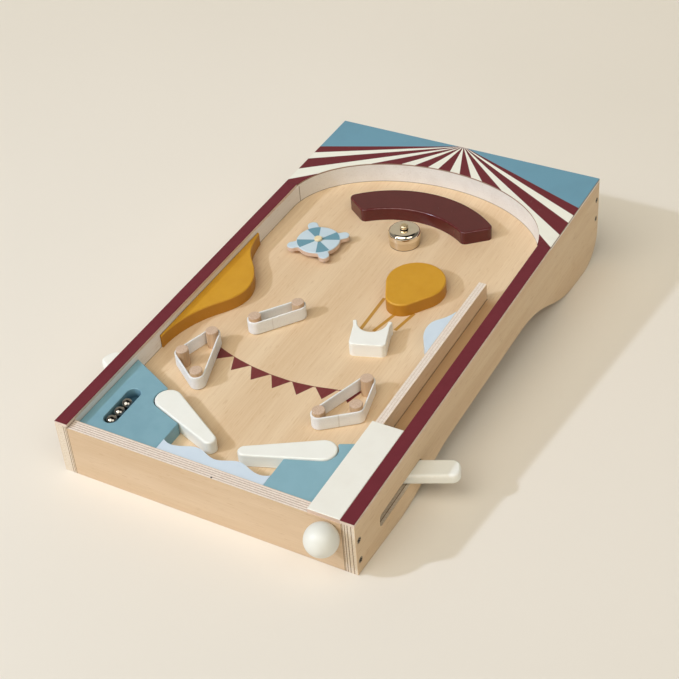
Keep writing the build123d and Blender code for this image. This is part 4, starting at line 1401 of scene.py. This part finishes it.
@dataclass
class Studio:
    """Pale floor, one weak key light, soft boxes on the camera's side and the camera."""

    floor_half: float = 6.0
    floor_cells: int = 8
    floor_gap: float = 0.0003
    key_from: Place = (-0.526, -0.630, 0.572)
    key_distance: float = 2.535
    key_width: float = 0.11
    key_power: float = 22.5
    key_colour: Place = (0.87, 1.0, 1.26)
    fill_colour: Colour = tint(255, 250, 237)
    surround: float = 0.13
    zenith: float = 0.02
    zenith_band: Spot = (0.7, 0.84)
    boxes: tuple[SoftBox, ...] = (
        SoftBox(-8.0, 52.0, (0.88, 0.95), 3.3),
        SoftBox(66.0, 48.0, (0.94, 0.975), 2.3),
        SoftBox(-70.0, 45.0, (0.85, 0.93), 0.1),
    )
    backdrop: Colour = tint(236, 227, 208)
    backdrop_level: float = 0.62
    backdrop_towards: Place = (-0.453, 0.805, 0.383)
    backdrop_cone: Spot = (0.5, 0.8)
    backdrop_top: Spot = (0.76, 0.86)
    horizon_band: Spot = (0.08, 0.2)
    camera_at: Place = (0.49797, -0.868437, 0.74536)
    camera_to: Place = (-0.019867, 0.025535, 0.00034)
    camera_roll: float = math.radians(-2.3037)
    lens: float = 80.784
    sensor: float = 36.0
    sight: Spot = (0.01, 100.0)

    def build(self) -> None:
        """Set the stage."""
        self.floor()
        self.light()
        self.world()
        self.camera()
        bpy.context.scene.view_settings.view_transform = "Standard"

    def floor(self) -> None:
        """Lay the floor just under the feet."""
        shape, cells = bmesh.new(), self.floor_cells
        bmesh.ops.create_grid(shape, x_segments=cells, y_segments=cells, size=self.floor_half)
        shape.transform(Matrix.Translation((0, 0, -self.floor_gap)))
        mesh = meshed(shape, "floor")
        mesh.materials.append(FloorFinish("floor_matt").make())
        floor = placed("floor", mesh)

    def light(self) -> None:
        """Hang the key light to the left of the front."""
        lamp = bpy.data.lights.new("key", "AREA")
        lamp.shape, lamp.size = "DISK", self.key_width
        lamp.energy, lamp.color = self.key_power, self.key_colour
        key = placed("key", lamp)
        aim = Vector(self.key_from).normalized()
        key.location = aim * self.key_distance
        key.rotation_mode = "QUATERNION"
        key.rotation_quaternion = aim.to_track_quat("Z", "Y")

    def world(self) -> None:
        """Dim surround with soft boxes, and a pale backdrop behind the game and low all round."""
        world = bpy.data.worlds.new("studio")
        sky = Graph(world)
        towards = sky.node("ShaderNodeTexCoord", {}, "Generated")
        height = sky.facing(towards, (0.0, 0.0, 1.0))
        level = height.rise(*self.zenith_band) * (self.zenith - self.surround) + self.surround
        for box in self.boxes:
            level = level + sky.facing(towards, box.heading()).rise(*box.cone) * box.level
        behind = sky.facing(towards, self.backdrop_towards).rise(*self.backdrop_cone)
        behind = behind * (1 - height.rise(*self.backdrop_top))
        pale = behind.most(1 - abs(height).rise(*self.horizon_band))
        fill = sky.node("ShaderNodeBackground", {"Color": self.fill_colour, "Strength": level})
        drop = sky.node("ShaderNodeBackground", {"Color": self.backdrop, "Strength": self.backdrop_level})
        both = sky.node("ShaderNodeMixShader", {0: pale, 1: fill, 2: drop})
        sky.node("ShaderNodeOutputWorld", {"Surface": both})
        bpy.context.scene.world = world

    def camera(self) -> None:
        """Stand the camera at the front right, looking down on the playfield."""
        lens = bpy.data.cameras.new("camera")
        lens.lens, lens.sensor_width = self.lens, self.sensor
        lens.clip_start, lens.clip_end = self.sight
        camera = placed("camera", lens)
        look = Vector(self.camera_to) - Vector(self.camera_at)
        camera.rotation_mode = "QUATERNION"
        roll = Matrix.Rotation(self.camera_roll, 3, "Z").to_quaternion()
        camera.rotation_quaternion = look.to_track_quat("-Z", "Y") @ roll
        camera.location = self.camera_at
        bpy.context.scene.camera = camera


def main() -> None:
    """Build the stage, then each part of the game in order."""
    logging.basicConfig(level=logging.INFO, format="%(name)s: %(message)s")
    Studio().build()
    flippers = [Flipper(side) for side in Side]
    for part in (
        CaseBox(), TopDeck(), Playfield(), PegGroups(), *flippers, Plunger(), Spinner(), Bell(), Balls()
    ):
        part.build()
        log.info("finished %s", type(part).__name__)


if __name__ == "__main__":
    main()
